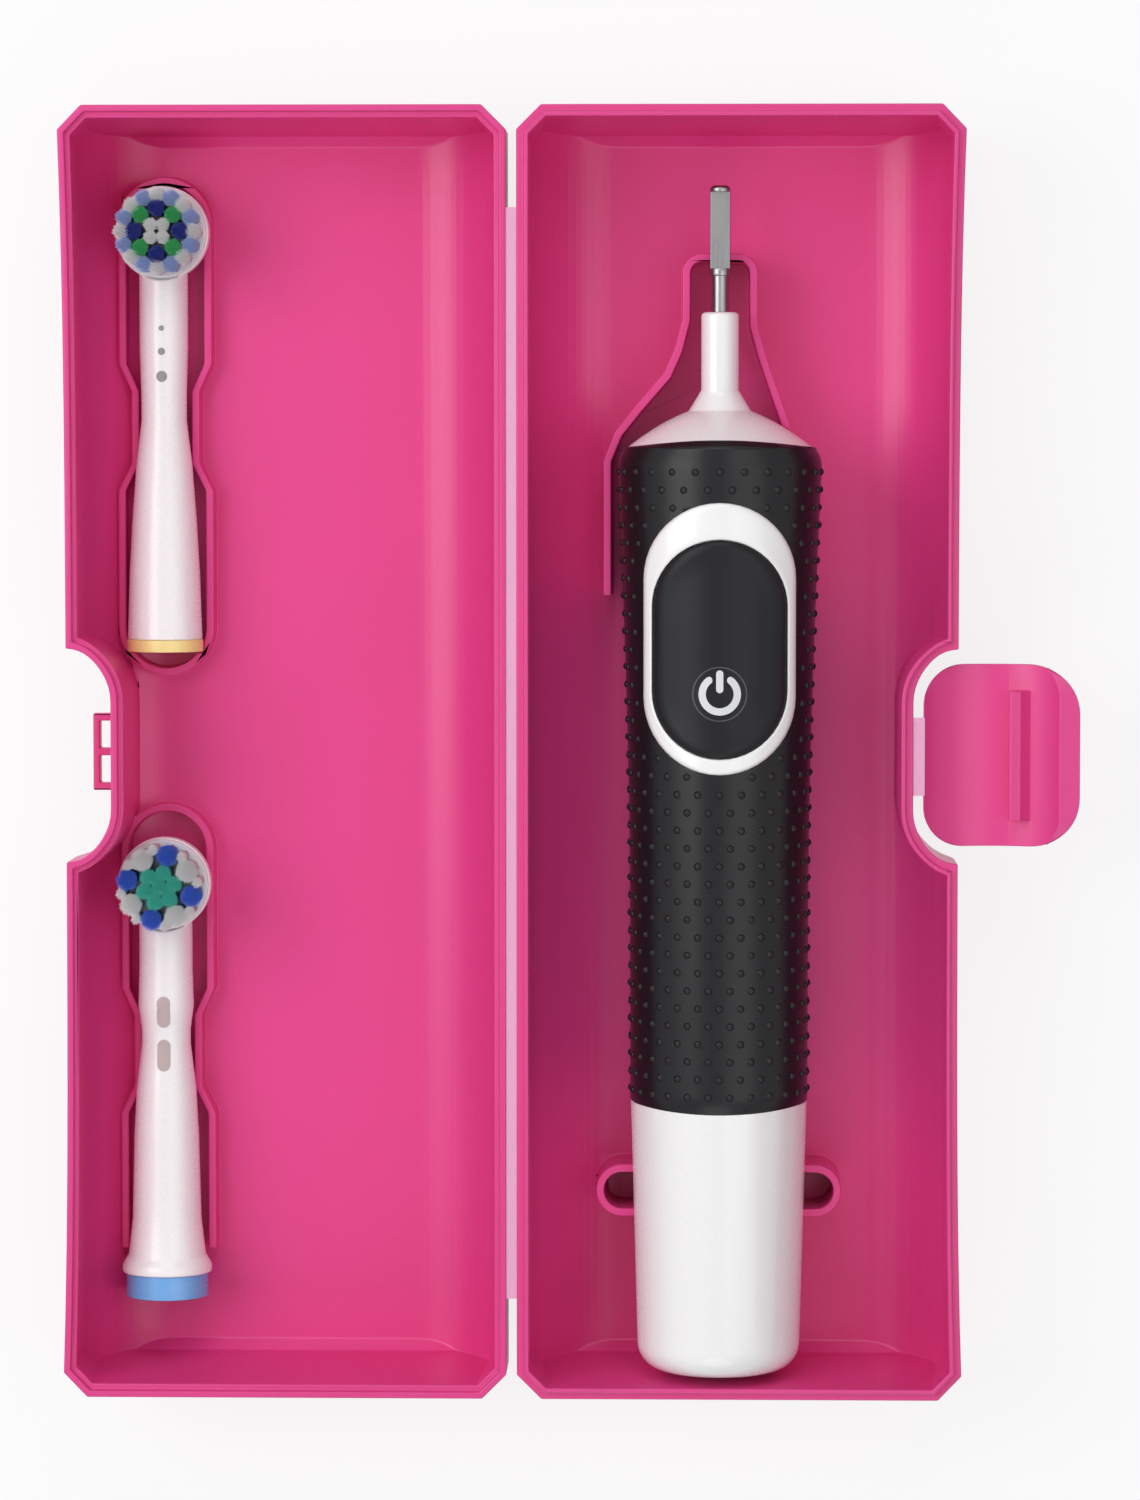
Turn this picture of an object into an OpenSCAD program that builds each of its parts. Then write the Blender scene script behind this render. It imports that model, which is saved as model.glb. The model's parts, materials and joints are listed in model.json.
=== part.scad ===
// Travel case for an electric toothbrush. It lies open on its back, with the toothbrush
// handle in the base and two brush heads in the lid. All sizes are in millimetres.
// X runs across, from the lid to the base, Y along the case towards the brush end, Z up.
// The origin is the middle of the base's outer back face, which lies on the table.

/* [Case] */
// Room between the tip of the drive shaft and the end wall
shaft_room = 10.7; // [8:0.1:14]
// Width of each half
case_w = 72.5; // [71:0.5:80]
// Depth of each half, from the back face to the rim
half_d = 27; // [26.5:0.5:30]
// Wall thickness of both halves
wall = 2; // [1.8:0.1:2.2]
// Radius of the long round edges
side_r = 16; // [15.5:0.5:18]
// Cut across each corner of the rim
corner_c = 4; // [3:0.5:5]
// How far each end wall leans in over its height
end_draft = 1.8; // [1:0.1:2]
// Bevel between each end wall and the back face
end_bevel = 3; // [2:0.5:4]
// Width of the lid rim's step
ledge_w = 1.2; // [1:0.05:1.3]
// Height of the base rim's raised lip
lip_h = 1; // [0.6:0.1:1.2]
// Gap round the lip when the case is closed
lip_gap = 0.1; // [0.08:0.01:0.15]
// Gap between the two rims when the case is closed
rim_gap = 0.2; // [0.1:0.05:0.4]

/* [Lid hinge] */
// Width of the gap that the hinge film spans
hinge_gap = 1.7; // [1.4:0.1:2]
// Distance of the hinge film's ends from the ends of the case
hinge_end = 16.5; // [14:0.5:25]
// Thickness of both hinge films
film_t = 0.5; // [0.3:0.1:0.8]
// Depth of both films under the rim
film_drop = 0.3; // [0.2:0.1:0.6]

/* [Latch] */
// Length of the notch in each free edge
notch_l = 34.7; // [34:0.1:38]
// Depth of the notch
notch_deep = 8.35; // [7.5:0.05:9]
// Radius of the notch's inner corners
notch_r = 8.6; // [8.4:0.1:9.5]
// Length of the flap along the case
flap_l = 29.6; // [27:0.1:30.5]
// Radius of the flap's curved plate, on the outside
flap_r = 15.6; // [15.2:0.1:16]
// Thickness of the flap's plate
flap_t = 1.6; // [1.2:0.1:1.8]
// Radius of the flap's corners
flap_corner_r = 6.6; // [5:0.1:7]
// How far the flap's plate starts from the notch
flap_gap = 1.7; // [1.5:0.1:2]
// How far the flap lies inside the case's side when latched
flap_inset = 1; // [0.8:0.1:1.4]
// Width of the turned lip at the flap's tip
flap_lip_w = 1.3; // [0.8:0.1:1.6]
// Length of the latch film
latch_film_l = 12.6; // [8:0.2:16]
// Distance of the hook's catching edge from the flap's hinge
hook_at = 14.6; // [13.5:0.1:15.5]
// Length of the hook rib
hook_l = 21; // [14:0.5:22]
// Length of the lug that the hook catches
lug_l = 12.6; // [10:0.2:14]
// How far the lug stands out of the notch wall
lug_out = 4.6; // [4.2:0.1:4.8]
// Thickness of the lug
lug_t = 3; // [2:0.2:3.4]
// Gap between hook and lug
hook_gap = 0.3; // [0.2:0.05:0.5]

/* [Badge recess] */
// Length of the pill-shaped recess in the lid's back
badge_l = 32.3; // [28:0.1:36]
// Width of the recess
badge_w = 9.3; // [8:0.1:11]
// Depth of the recess
badge_d = 0.4; // [0.2:0.1:0.8]
// Distance of the recess from the middle of the case
badge_y = -47.5; // [-55:0.5:-40]

/* [Holding ribs] */
// Thickness of the ribs
rib_t = 1.3; // [1:0.1:1.6]
// Height of the ribs round the handle
cradle_h = 12; // [10:0.5:12.5]
// Height of the ribs round the brush heads
pocket_h = 4.5; // [4:0.1:4.8]
// Space between a rib and what it holds
rib_gap = 0.3; // [0.25:0.05:0.4]
// Half length of the round-ended cup rib, across the case
cup_rib_half = 20.2; // [19:0.1:21]
// End radius of the cup rib
cup_rib_r = 4.3; // [4:0.1:5]
// Distance of the cup rib from the handle's bottom end
cup_rib_at = 28.8; // [24:0.1:34]

/* [Handle] */
// Distance of the handle's axis from the middle of the base
handle_x = -3.4; // [-4:0.1:-2.8]
// Gap between the handle's bottom end and the end wall
handle_end_gap = 1.7; // [1.5:0.1:2.2]
// Length of the white cup below the grip
cup_l = 44.4; // [42:0.1:46]
// Length of the rubber grip
grip_l = 106.5; // [104:0.1:108]
// Length of the shoulder above the grip
shoulder_l = 6.2; // [5.6:0.1:7]
// Length of the flare under the neck
flare_l = 3.4; // [3:0.1:4]
// Length of the neck
neck_l = 12.6; // [11.5:0.1:13]
// How far the drive shaft stands out of the neck
shaft_out = 20.5; // [19:0.1:21]
// Radius of the grip at its top
grip_top_r = 15.6; // [15.4:0.05:15.8]
// Radius of the grip at its bottom
grip_low_r = 14.4; // [14.3:0.05:14.6]
// Radius of the cup at its bottom end
cup_low_r = 13.3; // [13.2:0.05:13.6]
// Rounding of the handle's bottom end
cup_round = 4.5; // [3.5:0.1:4.8]
// Thickness of the rubber
grip_t = 1.4; // [1.2:0.05:1.5]
// Radius of the neck
neck_r = 3.05; // [2.9:0.05:3.2]
// Radius of the flare where it meets the shoulder
flare_r = 5.1; // [4.8:0.1:5.4]
// Inner radius of the housing
bore_r = 11.6; // [11.4:0.05:11.7]

/* [Button] */
// Height of the bezel's middle above the cup's bottom end
bezel_at = 120.5; // [119:0.1:122]
// Length of the oval bezel
bezel_l = 43.7; // [42:0.1:45]
// Width of the oval bezel
bezel_w = 24.6; // [24:0.1:25]
// Height of the button's middle above the cup's bottom end
button_at = 118.8; // [118.5:0.1:119.5]
// Length of the button
button_l = 35; // [33:0.1:36]
// Width of the button
button_w = 21.5; // [20:0.1:21.8]
// How far the bezel stands out of the grip
bezel_rise = 0.5; // [0.3:0.05:0.7]
// How far the button stands out of the bezel
button_rise = 0.5; // [0.2:0.05:0.7]
// Travel of the button
button_travel = 0.6; // [0.4:0.05:0.7]
// Gap round the button
button_gap = 0.15; // [0.1:0.01:0.25]

/* [Drive] */
// Radius of the drive shaft
shaft_r = 1.35; // [1.2:0.05:1.45]
// Radius of the shaft's flattened end
blade_r = 1.65; // [1.5:0.05:1.7]
// Length of the shaft's flattened end
blade_l = 14.6; // [13:0.1:15.5]
// Running clearance of shafts in their bores
run_gap = 0.03; // [0.02:0.01:0.06]
// Radius of the motor
motor_r = 7.8; // [7:0.1:8]
// Length of the motor
motor_l = 26; // [24:0.5:27]
// Radius of the battery cell
cell_r = 7.1; // [6.8:0.1:7.2]
// Length of the battery cell
cell_l = 49; // [47:0.5:50]
// Size of a gear tooth, as its module
gear_m = 0.32; // [0.3:0.005:0.33]
// Throw of the drive gear's crank pin
crank_throw = 1.8; // [1.4:0.1:2]
// Depth of the charger's peg hole
peg_deep = 12; // [10:0.5:12.5]
// Radius of the charger's peg hole
peg_r = 4.3; // [4:0.1:4.5]

/* [Brush heads] */
// Distance of the heads' axis from the lid's free edge
head_edge = 15.45; // [15.1:0.05:15.8]
// Length of a head, from its bottom end to the middle of its disc
head_l = 68.8; // [68:0.1:70]
// Place of the upper head's bottom end along the case
upper_head_y = 16.2; // [15:0.1:17]
// Place of the lower head's disc along the case
lower_disc_y = -22.1; // [-23:0.1:-21.5]
// Radius of the upper head's bottom end
upper_foot_r = 6.3; // [6.1:0.05:6.5]
// Radius of the lower head's flared lip
lower_foot_r = 7.4; // [7:0.05:7.5]
// Length of the upper head's colour ring
upper_ring_l = 2; // [1.5:0.1:3]
// Length of the lower head's colour ring
lower_ring_l = 4; // [3:0.1:4.5]
// Radius of the back of a head's disc housing
head_cup_r = 6.1; // [6:0.05:6.2]
// Radius of the disc housing at its front rim
head_rim_r = 7.7; // [7.5:0.05:7.8]
// Radius of the upper head at its waist
upper_waist_r = 3.75; // [3.6:0.05:3.9]
// Radius of the lower head at its waist
lower_waist_r = 4.05; // [3.9:0.05:4.2]
// Room between a head's disc housing and the round end of its pocket
pocket_room = 1.7; // [0.3:0.1:2]
// How far the lower head lies out of its pocket
lower_head_out = 3.5; // [3:0.1:3.8]
// Length of the tufts
tuft_l = 7.6; // [6.5:0.1:8]
// Radius of a strand
strand_r = 0.24; // [0.2:0.01:0.26]

/* [Hidden] */
$fn = 96;

// How far a cutting shape runs past what it cuts
over = 1;
// How far a rib's foot is sunk into the floor under it
sink = 0.5;

// Handle's lengths, counted from its bottom end, and the case that holds it
grip_end = cup_l + grip_l;
shoulder_end = grip_end + shoulder_l;
flare_end = shoulder_end + flare_l;
neck_end = flare_end + neck_l;
shaft_end = neck_end + shaft_out;
case_l = 2 * wall + handle_end_gap + shaft_end + shaft_room;

// Case
hinge_l = case_l - 2 * hinge_end;
hinge_x = -(case_w + hinge_gap) / 2;
hinge_z = half_d + rim_gap / 2;
lid_x = 2 * hinge_x;
notch_x = case_w / 2 - notch_deep;
root_x = notch_x + flap_gap;
latch_x = notch_x + flap_gap / 2;
latch_z = half_d - film_drop - film_t / 2;
// Centre of the flap's curve in its latched place, which follows the lid's round edge
flap_up_x = case_w / 2 - flap_inset - flap_r;
flap_up_z = 2 * hinge_z - side_r;
// The same centre with the flap swung down level with the rim
flap_x = latch_x + flap_up_z - latch_z;
flap_z = latch_z + latch_x - flap_up_x;
flap_top = half_d - 0.1;
tip_x = flap_x + sqrt(flap_r * flap_r - (flap_z - flap_top) * (flap_z - flap_top));
hook_x = latch_x + hook_at;
// Height of the lug's catching face in the open lid
lug_z = 2 * hinge_z - (latch_z + hook_at) + hook_gap;
cradle_top = wall + cradle_h;
pocket_top = wall + pocket_h;

// Handle
handle_y = -case_l / 2 + wall + handle_end_gap;
handle_z = wall + rib_gap + grip_top_r;
seat_gap = 0.05;
// How far the shoulder's edge lies under the rubber's, and how much it is crowned
shoulder_edge = 0.2;
shoulder_crown = 0.09;
bezel_r = grip_top_r + bezel_rise;
button_r = bezel_r + button_rise;
button_t = 2;
neck_bore_r = 2.12;
seal_l = 4;
bushing_l = 5;
// Inner parts, from the bottom end up
cap_r = 8.4;
cap_t = 4.2;
cap_lift = 0.3;
cap_tube_r = 5.6;
cap_tube_end = peg_deep + 1.6;
cap_end = cap_lift + cap_t;
coil_r = 9.4;
coil_start = cap_end + 0.9;
frame_r = bore_r - 0.2;
frame_t = 1;
frame_start = cap_tube_end + 2;
plate_t = 2;
fit_gap = 0.2;
board_y = 8.6;
board_t = 1;
board_w = 10;
board_low = 6;
contact_r = 4;
contact_t = 1;
cell_start = frame_start + plate_t + 1.2;
cell_end = cell_start + cell_l;
motor_depth = 58;
motor_start = grip_end - motor_depth;
motor_end = motor_start + motor_l;
mount_end = motor_end + fit_gap + plate_t;
gear_room = 3;
gear_start = mount_end + gear_room;
gear_t = 2.5;
gear_teeth = 24;
pinion_teeth = 10;
gear_y = gear_m * (gear_teeth + pinion_teeth) / 2;
axle_r = 0.6;
rocker_start = gear_start + gear_t + gear_room;
rocker_t = 2;
bearing_start = rocker_start + rocker_t + 2.2;
frame_end = bearing_start + plate_t;
switch_at = button_at - 7.1;
switch_w = 6;
switch_t = 1.6;

// Brush heads, with their lengths counted from their bottom end
head_gap = 0.3;
head_x = case_w / 2 - head_edge;
lower_head_y = lower_disc_y - head_l;
function foot_axis_z(foot_r) = wall + head_gap + foot_r;
// Half widths of the pockets at the foot, the waist and the neck, and their room past the foot
pocket_foot_half = upper_foot_r + rib_gap;
pocket_waist_half = upper_waist_r + 0.6;
pocket_neck_half = head_cup_r + head_gap;
pocket_foot_room = 2.8;
// The waist's lower and upper end, and the run over which the ribs draw in to it
waist_low = 31;
waist_high = 42.9;
waist_run = 4.5;
lower_lip_l = 3;
disc_z = -2.75;
disc_t = 1.5;
disc_r = head_rim_r - 0.3;
slice_t = 0.5;
post_r = 0.45;
post_at = 2.4;
pin_r = 0.6;
socket_r = 3.3;
socket_l = 12;
link_r = 1.2;
cup_back = 3.9;
cup_front = 2.6;
// Height at which the disc housing widens, clear of the pocket's rib under it
cup_flare = pocket_top + head_gap - foot_axis_z(upper_foot_r);
cup_hole_r = 5.2;
cup_hole_back = 2.2;
tuft_pitch = 0.62;
outer_tuft_r = 5.9;
middle_tuft_r = 3.75;
centre_tuft_r = 1.4;
ring_gap = 0.05;

pink = [0.90, 0.24, 0.55];
white = [0.96, 0.96, 0.96];
charcoal = [0.10, 0.10, 0.11];
steel = [0.72, 0.73, 0.75];
copper = [0.80, 0.45, 0.25];

// ---- shared shapes ----

// Cross-section of a half, seen along the case, drawn inset from the outer skin
module section(inset, top) {
    half = case_w / 2 - inset;
    r = side_r - inset;
    translate([-half, side_r]) square([2 * half, top - side_r]);
    translate([r - half, inset]) square([2 * (half - r), side_r]);
    for (side = [-1, 1]) translate([side * (half - r), side_r]) circle(r);
}

// Outline of a half seen from its side, with its leaning ends and their bevels
module side_profile(inset, top) {
    rim = case_l / 2 - inset;
    foot = case_l / 2 - end_draft - inset;
    shift = inset * (sqrt(2) - 1);
    low = case_l / 2 - end_draft - end_bevel - shift;
    points = [[rim, top], [rim, half_d], [foot, end_bevel + shift], [low, inset]];
    mirrored = [for (i = [len(points) - 1 : -1 : 0]) [-points[i].x, points[i].y]];
    polygon(concat(points, mirrored));
}

// The notch for the latch, seen from above
module notch(grow) {
    reach = notch_l / 2 - notch_r;
    translate([notch_x - grow, -reach]) square([case_w, 2 * reach]);
    translate([notch_x + notch_r, -notch_l / 2 - grow]) square([case_w, notch_l + 2 * grow]);
    for (side = [-1, 1]) translate([notch_x + notch_r, side * reach]) circle(notch_r + grow);
}

// Outline of a half seen from above, with its cut corners and its notch
module plan(inset) {
    x = case_w / 2 - inset;
    y = case_l / 2 - inset;
    c = corner_c - inset * (2 - sqrt(2));
    difference() {
        polygon([[-x, c - y], [c - x, -y], [x - c, -y], [x, c - y],
            [x, y - c], [x - c, y], [c - x, y], [-x, y - c]]);
        notch(inset);
    }
}

// One half as a solid block, inset all round and with its top at the given height
module half_form(inset, top) {
    intersection() {
        rotate([90, 0, 0]) linear_extrude(case_l + 2 * over, center = true) section(inset, top);
        rotate([90, 0, 90]) linear_extrude(case_w + 2 * over, center = true) side_profile(inset, top);
        linear_extrude(top) plan(inset);
    }
}

// Unit vector square to the step from p to q, on its left
function left_of(p, q) = [p.y - q.y, q.x - p.x] / norm(q - p);

// The points of a path moved sideways by d, with mitred corners
function shifted(points, d) = [for (i = [0 : len(points) - 1])
    let (before = left_of(points[max(i - 1, 0)], points[max(i, 1)]),
        after = left_of(points[min(i, len(points) - 2)], points[min(i + 1, len(points) - 1)]),
        middle = before + after)
    points[i] + middle * d * 2 / (middle * middle)];

// A thin rib that follows a path
module rib(points) {
    back = shifted(points, -rib_t / 2);
    polygon(concat(shifted(points, rib_t / 2), [for (i = [len(back) - 1 : -1 : 0]) back[i]]));
}

// Points on an arc about a centre
function arc(centre, r, from, to, steps) = [for (i = [0 : steps])
    let (a = from + (to - from) * i / steps) centre + r * [cos(a), sin(a)]];

// Points of a long oval with straight sides and round ends
function oval(l, w) = concat(arc([0, (l - w) / 2], w / 2, 0, 180, 24),
    arc([0, (w - l) / 2], w / 2, 180, 360, 24));

module place_lid() {
    translate([lid_x, 0, 0]) mirror([1, 0, 0]) children();
}

// The handle's own frame: z up its axis from its bottom end, and -y out of its button
module place_handle() {
    translate([handle_x, handle_y, handle_z]) rotate([-90, 0, 0]) children();
}

// A ring between two radii
module tube(outer, inner, l) {
    difference() {
        cylinder(r = outer, h = l);
        translate([0, 0, -over]) cylinder(r = inner, h = l + 2 * over);
    }
}

// A prism through the handle's front, with an outline drawn about a height on its axis
module front_prism(at) {
    translate([0, 0, at]) rotate([90, 0, 0]) linear_extrude(grip_top_r * 2) children();
}

// Outline of the handle's crowned shoulder above the grip, let out by a gap
function shoulder(gap) = [for (i = [0 : 8])
    let (t = i / 8, edge_r = grip_top_r - shoulder_edge)
    [edge_r + gap - (edge_r - flare_r) * t,
        grip_end + gap + shoulder_l * (t + 4 * shoulder_crown * t * (1 - t))]];

// ---- case ----

// Outer skin of the handle, let out by a gap
module handle_space(gap) {
    place_handle() {
        cylinder(r1 = cup_low_r + gap, r2 = grip_low_r + gap, h = cup_l);
        translate([0, 0, cup_l])
            cylinder(r1 = grip_low_r + gap, r2 = grip_top_r + gap, h = grip_l);
        rotate_extrude()
            polygon(concat([[0, grip_end], [grip_top_r + gap, grip_end]], shoulder(gap),
                [[0, shoulder_end + gap]]));
    }
}

// Bottle-shaped rib round the handle's neck and shoulders
module neck_rib() {
    flank = grip_top_r + 2.8;
    top = neck_end + 9;
    left = [[-flank, grip_end - 24], [-flank, grip_end - 2], [-16.6, grip_end + 2.5],
        [-13.4, grip_end + 6.5], [-8.6, grip_end + 12], [-6.8, grip_end + 16],
        [-5.5, grip_end + 21]];
    crown = concat(arc([-3, top - 2.5], 2.5, 180, 90, 5), arc([3, top - 2.5], 2.5, 90, 0, 5));
    right = [[5.5, grip_end + 20], [7.1, grip_end + 14.5], [9.7, grip_end + 7],
        [12.2, grip_end], [13, grip_end - 6], [13, grip_end - 24]];
    rib(concat(left, crown, right));
}

// Round-ended rib that the handle's cup sits in
module cup_rib() {
    reach = cup_rib_half - cup_rib_r;
    difference() {
        union() {
            square([2 * reach, 2 * cup_rib_r], center = true);
            for (side = [-1, 1]) translate([side * reach, 0]) circle(cup_rib_r);
        }
        square([2 * reach, 2 * (cup_rib_r - rib_t)], center = true);
        for (side = [-1, 1]) translate([side * reach, 0]) circle(cup_rib_r - rib_t);
    }
}

module base_shell() {
    color(pink) {
        difference() {
            union() {
                half_form(0, half_d);
                translate([0, 0, half_d - over]) linear_extrude(over + lip_h) plan(ledge_w);
            }
            half_form(wall, half_d + lip_h + over);
        }
        difference() {
            translate([handle_x, handle_y, wall - sink]) linear_extrude(cradle_h + sink) {
                neck_rib();
                translate([0, cup_rib_at]) cup_rib();
            }
            handle_space(rib_gap);
        }
    }
}

// Outline of the space for a brush head, seen from above, let out by a distance
module pocket(grow) {
    foot = pocket_foot_half + grow;
    waist = pocket_waist_half + grow;
    neck = pocket_neck_half + grow;
    middle = pocket_foot_half - pocket_foot_room;
    right = [[foot, middle], [foot, waist_low - waist_run], [waist, waist_low],
        [waist, waist_high], [neck, waist_high + waist_run], [neck, head_l + pocket_room]];
    left = [for (i = [len(right) - 1 : -1 : 0]) [-right[i].x, right[i].y]];
    translate([0, head_l + pocket_room]) circle(neck);
    polygon(concat(right, left));
    translate([0, middle]) circle(foot);
}

// The hooked-over bar on the notch wall, on three short ribs
module lug() {
    bar_t = 1.4;
    web_t = 1.2;
    step = (lug_l - web_t) / 2;
    translate([notch_x + lug_out - bar_t, -lug_l / 2, lug_z]) cube([bar_t, lug_l, lug_t]);
    for (i = [-1 : 1]) translate([notch_x - sink, i * step - web_t / 2, lug_z])
        cube([lug_out + sink - bar_t / 2, web_t, lug_t]);
}

module badge() {
    reach = (badge_l - badge_w) / 2;
    square([2 * reach, badge_w], center = true);
    for (side = [-1, 1]) translate([side * reach, 0]) circle(badge_w / 2);
}

module lid_shell() {
    color(pink) place_lid() {
        difference() {
            half_form(0, half_d);
            half_form(wall, half_d + over);
            translate([0, 0, half_d - lip_h - lip_gap]) linear_extrude(lip_h + lip_gap + over)
                plan(ledge_w - lip_gap);
            translate([0, badge_y, -over]) linear_extrude(badge_d + over) badge();
        }
        intersection() {
            half_form(sink, half_d);
            translate([head_x, 0, 0]) {
                translate([0, upper_head_y, 0]) upper_pocket_rib();
                translate([0, lower_head_y + lower_head_out, 0]) lower_pocket_rib();
            }
        }
        lug();
    }
}

module pocket_rib() {
    linear_extrude(pocket_top) difference() {
        pocket(rib_t);
        pocket(0);
    }
}

// This rib closes round the head's foot, with a seat cut into it for the colour ring
module upper_pocket_rib() {
    difference() {
        pocket_rib();
        translate([0, -rib_gap, foot_axis_z(upper_foot_r)]) rotate([-90, 0, 0])
            cylinder(r = upper_foot_r + rib_gap, h = upper_ring_l + 2 * rib_gap);
    }
}

// This one stays open at the foot, where the wider lip of the lower head lies
module lower_pocket_rib() {
    foot_w = 2 * (lower_foot_r + rib_t + over);
    difference() {
        pocket_rib();
        translate([-foot_w / 2, -lower_head_out - foot_w, -over])
            cube([foot_w, foot_w + lower_ring_l + lower_lip_l + rib_gap, pocket_top + 2 * over]);
    }
}

module lid_hinge_strip() {
    color(pink) translate([hinge_x - hinge_gap / 2, -hinge_l / 2, half_d - film_drop - film_t])
        cube([hinge_gap, hinge_l, film_t]);
}

// ---- latch ----

// Plate outline seen from above, with four round corners
module flap_plan() {
    l = tip_x + flap_lip_w - root_x;
    c = flap_corner_r;
    translate([root_x, -flap_l / 2]) {
        translate([0, c]) square([l, flap_l - 2 * c]);
        translate([c, 0]) square([l - 2 * c, flap_l]);
        for (x = [c, l - c], y = [c, flap_l - c]) translate([x, y]) circle(c);
    }
}

// The lid's notch as the latched flap meets it, turned back to where the flap lies at rest
module latched_notch(gap) {
    reach = notch_l / 2 - notch_r;
    corner = arc([notch_x + notch_r, reach], notch_r - gap, 180, 90, 9);
    mirrored = [for (i = [len(corner) - 1 : -1 : 0]) [corner[i].x, -corner[i].y]];
    translate([0, 0, latch_x + latch_z]) rotate([0, 90, 0]) linear_extrude(2 * case_w)
        polygon(concat(corner, [[case_w, notch_l / 2 - gap], [case_w, gap - notch_l / 2]], mirrored));
}

// Flap with the curve of the case's side, a turned lip at its tip and a hook rib inside
module latch_flap() {
    lip_t = 0.8;
    floor_z = flap_z - sqrt(pow(flap_r - flap_t, 2) - pow(hook_x + 1.5 - flap_x, 2));
    hook_top = floor_z + 2.7;
    color(pink) {
        intersection() {
            rotate([90, 0, 0]) linear_extrude(flap_l + over, center = true) union() {
                intersection() {
                    difference() {
                        translate([flap_x, flap_z]) circle(flap_r);
                        translate([flap_x, flap_z]) circle(flap_r - flap_t);
                    }
                    translate([root_x - over, flap_z - flap_r])
                        square([2 * flap_r, flap_top - flap_z + flap_r]);
                }
                translate([tip_x - 1, flap_top - lip_t]) square([1 + flap_lip_w, lip_t]);
            }
            linear_extrude(half_d) flap_plan();
            latched_notch(hook_gap);
        }
        rotate([90, 0, 0]) linear_extrude(hook_l, center = true)
            polygon([[hook_x + 0.6, floor_z - 0.8], [hook_x, hook_top - 0.3], [hook_x + 0.4, hook_top],
                [hook_x + 1.9, hook_top], [hook_x + 4.6, floor_z], [hook_x + 4.6, floor_z - 0.8]]);
    }
}

module latch_hinge_strip() {
    color(pink) translate([notch_x, -latch_film_l / 2, latch_z - film_t / 2])
        cube([flap_gap, latch_film_l, film_t]);
}

// ---- handle ----

// Hard white body: neck, shoulder, the tube under the rubber, and the cup
module main_housing() {
    seat_top = grip_top_r - grip_t;
    seat_low = grip_low_r - grip_t;
    outside = concat(
        [[cap_r + fit_gap, 0]],
        arc([cup_low_r - cup_round, cup_round], cup_round, -90, 0, 8),
        [[grip_low_r, cup_l], [seat_low, cup_l], [seat_top, grip_end]],
        shoulder(0),
        [[neck_r, flare_end], [neck_r, neck_end - 0.4], [neck_r - 0.4, neck_end]]);
    inside = [[neck_bore_r, neck_end], [neck_bore_r, shoulder_end - 2.4],
        [bore_r, grip_end - 5], [bore_r, cap_end + 2.1], [cap_r + fit_gap, cap_end + 0.1]];
    color(white) place_handle() difference() {
        rotate_extrude() polygon(concat(outside, inside));
        // way through for the button's plunger
        translate([0, 0, switch_at]) rotate([90, 0, 0]) cylinder(r = 2.2, h = grip_top_r * 2);
    }
}

// Black rubber sleeve with a window for the bezel
module grip_sleeve() {
    color(charcoal) place_handle() difference() {
        rotate_extrude() polygon([[grip_low_r - grip_t + seat_gap, cup_l + seat_gap],
            [grip_low_r, cup_l + seat_gap], [grip_top_r, grip_end - seat_gap],
            [grip_top_r - grip_t + seat_gap, grip_end - seat_gap]]);
        front_prism(bezel_at) polygon(oval(bezel_l + 2 * seat_gap, bezel_w + 2 * seat_gap));
    }
}

// White oval ring round the button
module button_bezel() {
    color(white) place_handle() difference() {
        intersection() {
            front_prism(bezel_at) polygon(oval(bezel_l, bezel_w));
            translate([0, 0, bezel_at - bezel_l]) cylinder(r = bezel_r, h = 2 * bezel_l);
        }
        translate([0, 0, bezel_at - bezel_l])
            cylinder(r = grip_top_r - grip_t + seat_gap, h = 2 * bezel_l);
        front_prism(button_at)
            polygon(oval(button_l + 2 * button_gap, button_w + 2 * button_gap));
    }
}

// The button, with the plunger that presses the switch
module power_button() {
    rest_y = board_y + board_t + switch_t + button_travel + 0.1;
    color(charcoal) place_handle() {
        difference() {
            intersection() {
                front_prism(button_at) polygon(oval(button_l, button_w));
                translate([0, 0, button_at - button_l]) cylinder(r = button_r, h = 2 * button_l);
            }
            translate([0, 0, button_at - button_l])
                cylinder(r = button_r - button_t + 0.4, h = 2 * button_l);
        }
        translate([0, -rest_y, switch_at]) rotate([90, 0, 0])
            cylinder(r = 1.5, h = button_r - 0.6 - rest_y);
    }
}

// ---- drive ----

// Steel shaft with a D-shaped end, which turns to and fro
module drive_shaft() {
    color(steel) place_handle() {
        translate([0, 0, rocker_start - fit_gap])
            cylinder(r = shaft_r, h = shaft_end - rocker_start - blade_l + fit_gap + 1);
        difference() {
            translate([0, 0, shaft_end - blade_l]) union() {
                cylinder(r = blade_r, h = blade_l - 0.4);
                translate([0, 0, blade_l - 0.4]) cylinder(r1 = blade_r, r2 = blade_r - 0.4, h = 0.4);
            }
            translate([-blade_r, -blade_r - 0.5, shaft_end - blade_l + 1.2])
                cube([2 * blade_r, blade_r, blade_l - 2.2]);
        }
    }
}

// Slotted arm on the shaft, which the crank pin swings
module rocker_arm() {
    arm_w = 4;
    slot_w = 2 * (axle_r + 0.1);
    color(steel) place_handle() translate([0, 0, rocker_start]) linear_extrude(rocker_t)
        difference() {
            union() {
                circle(arm_w / 2 + 0.6);
                translate([-arm_w / 2, 0]) square([arm_w, gear_y + crank_throw]);
                translate([0, gear_y + crank_throw]) circle(arm_w / 2);
            }
            circle(shaft_r);
            translate([-slot_w / 2, gear_y - crank_throw]) square([slot_w, 2 * crank_throw]);
            for (side = [-1, 1]) translate([0, gear_y + side * crank_throw]) circle(slot_w / 2);
        }
}

module shaft_bushing() {
    color(copper) place_handle() translate([0, 0, shoulder_end + 2])
        tube(neck_bore_r - run_gap, shaft_r + run_gap, bushing_l);
}

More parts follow.
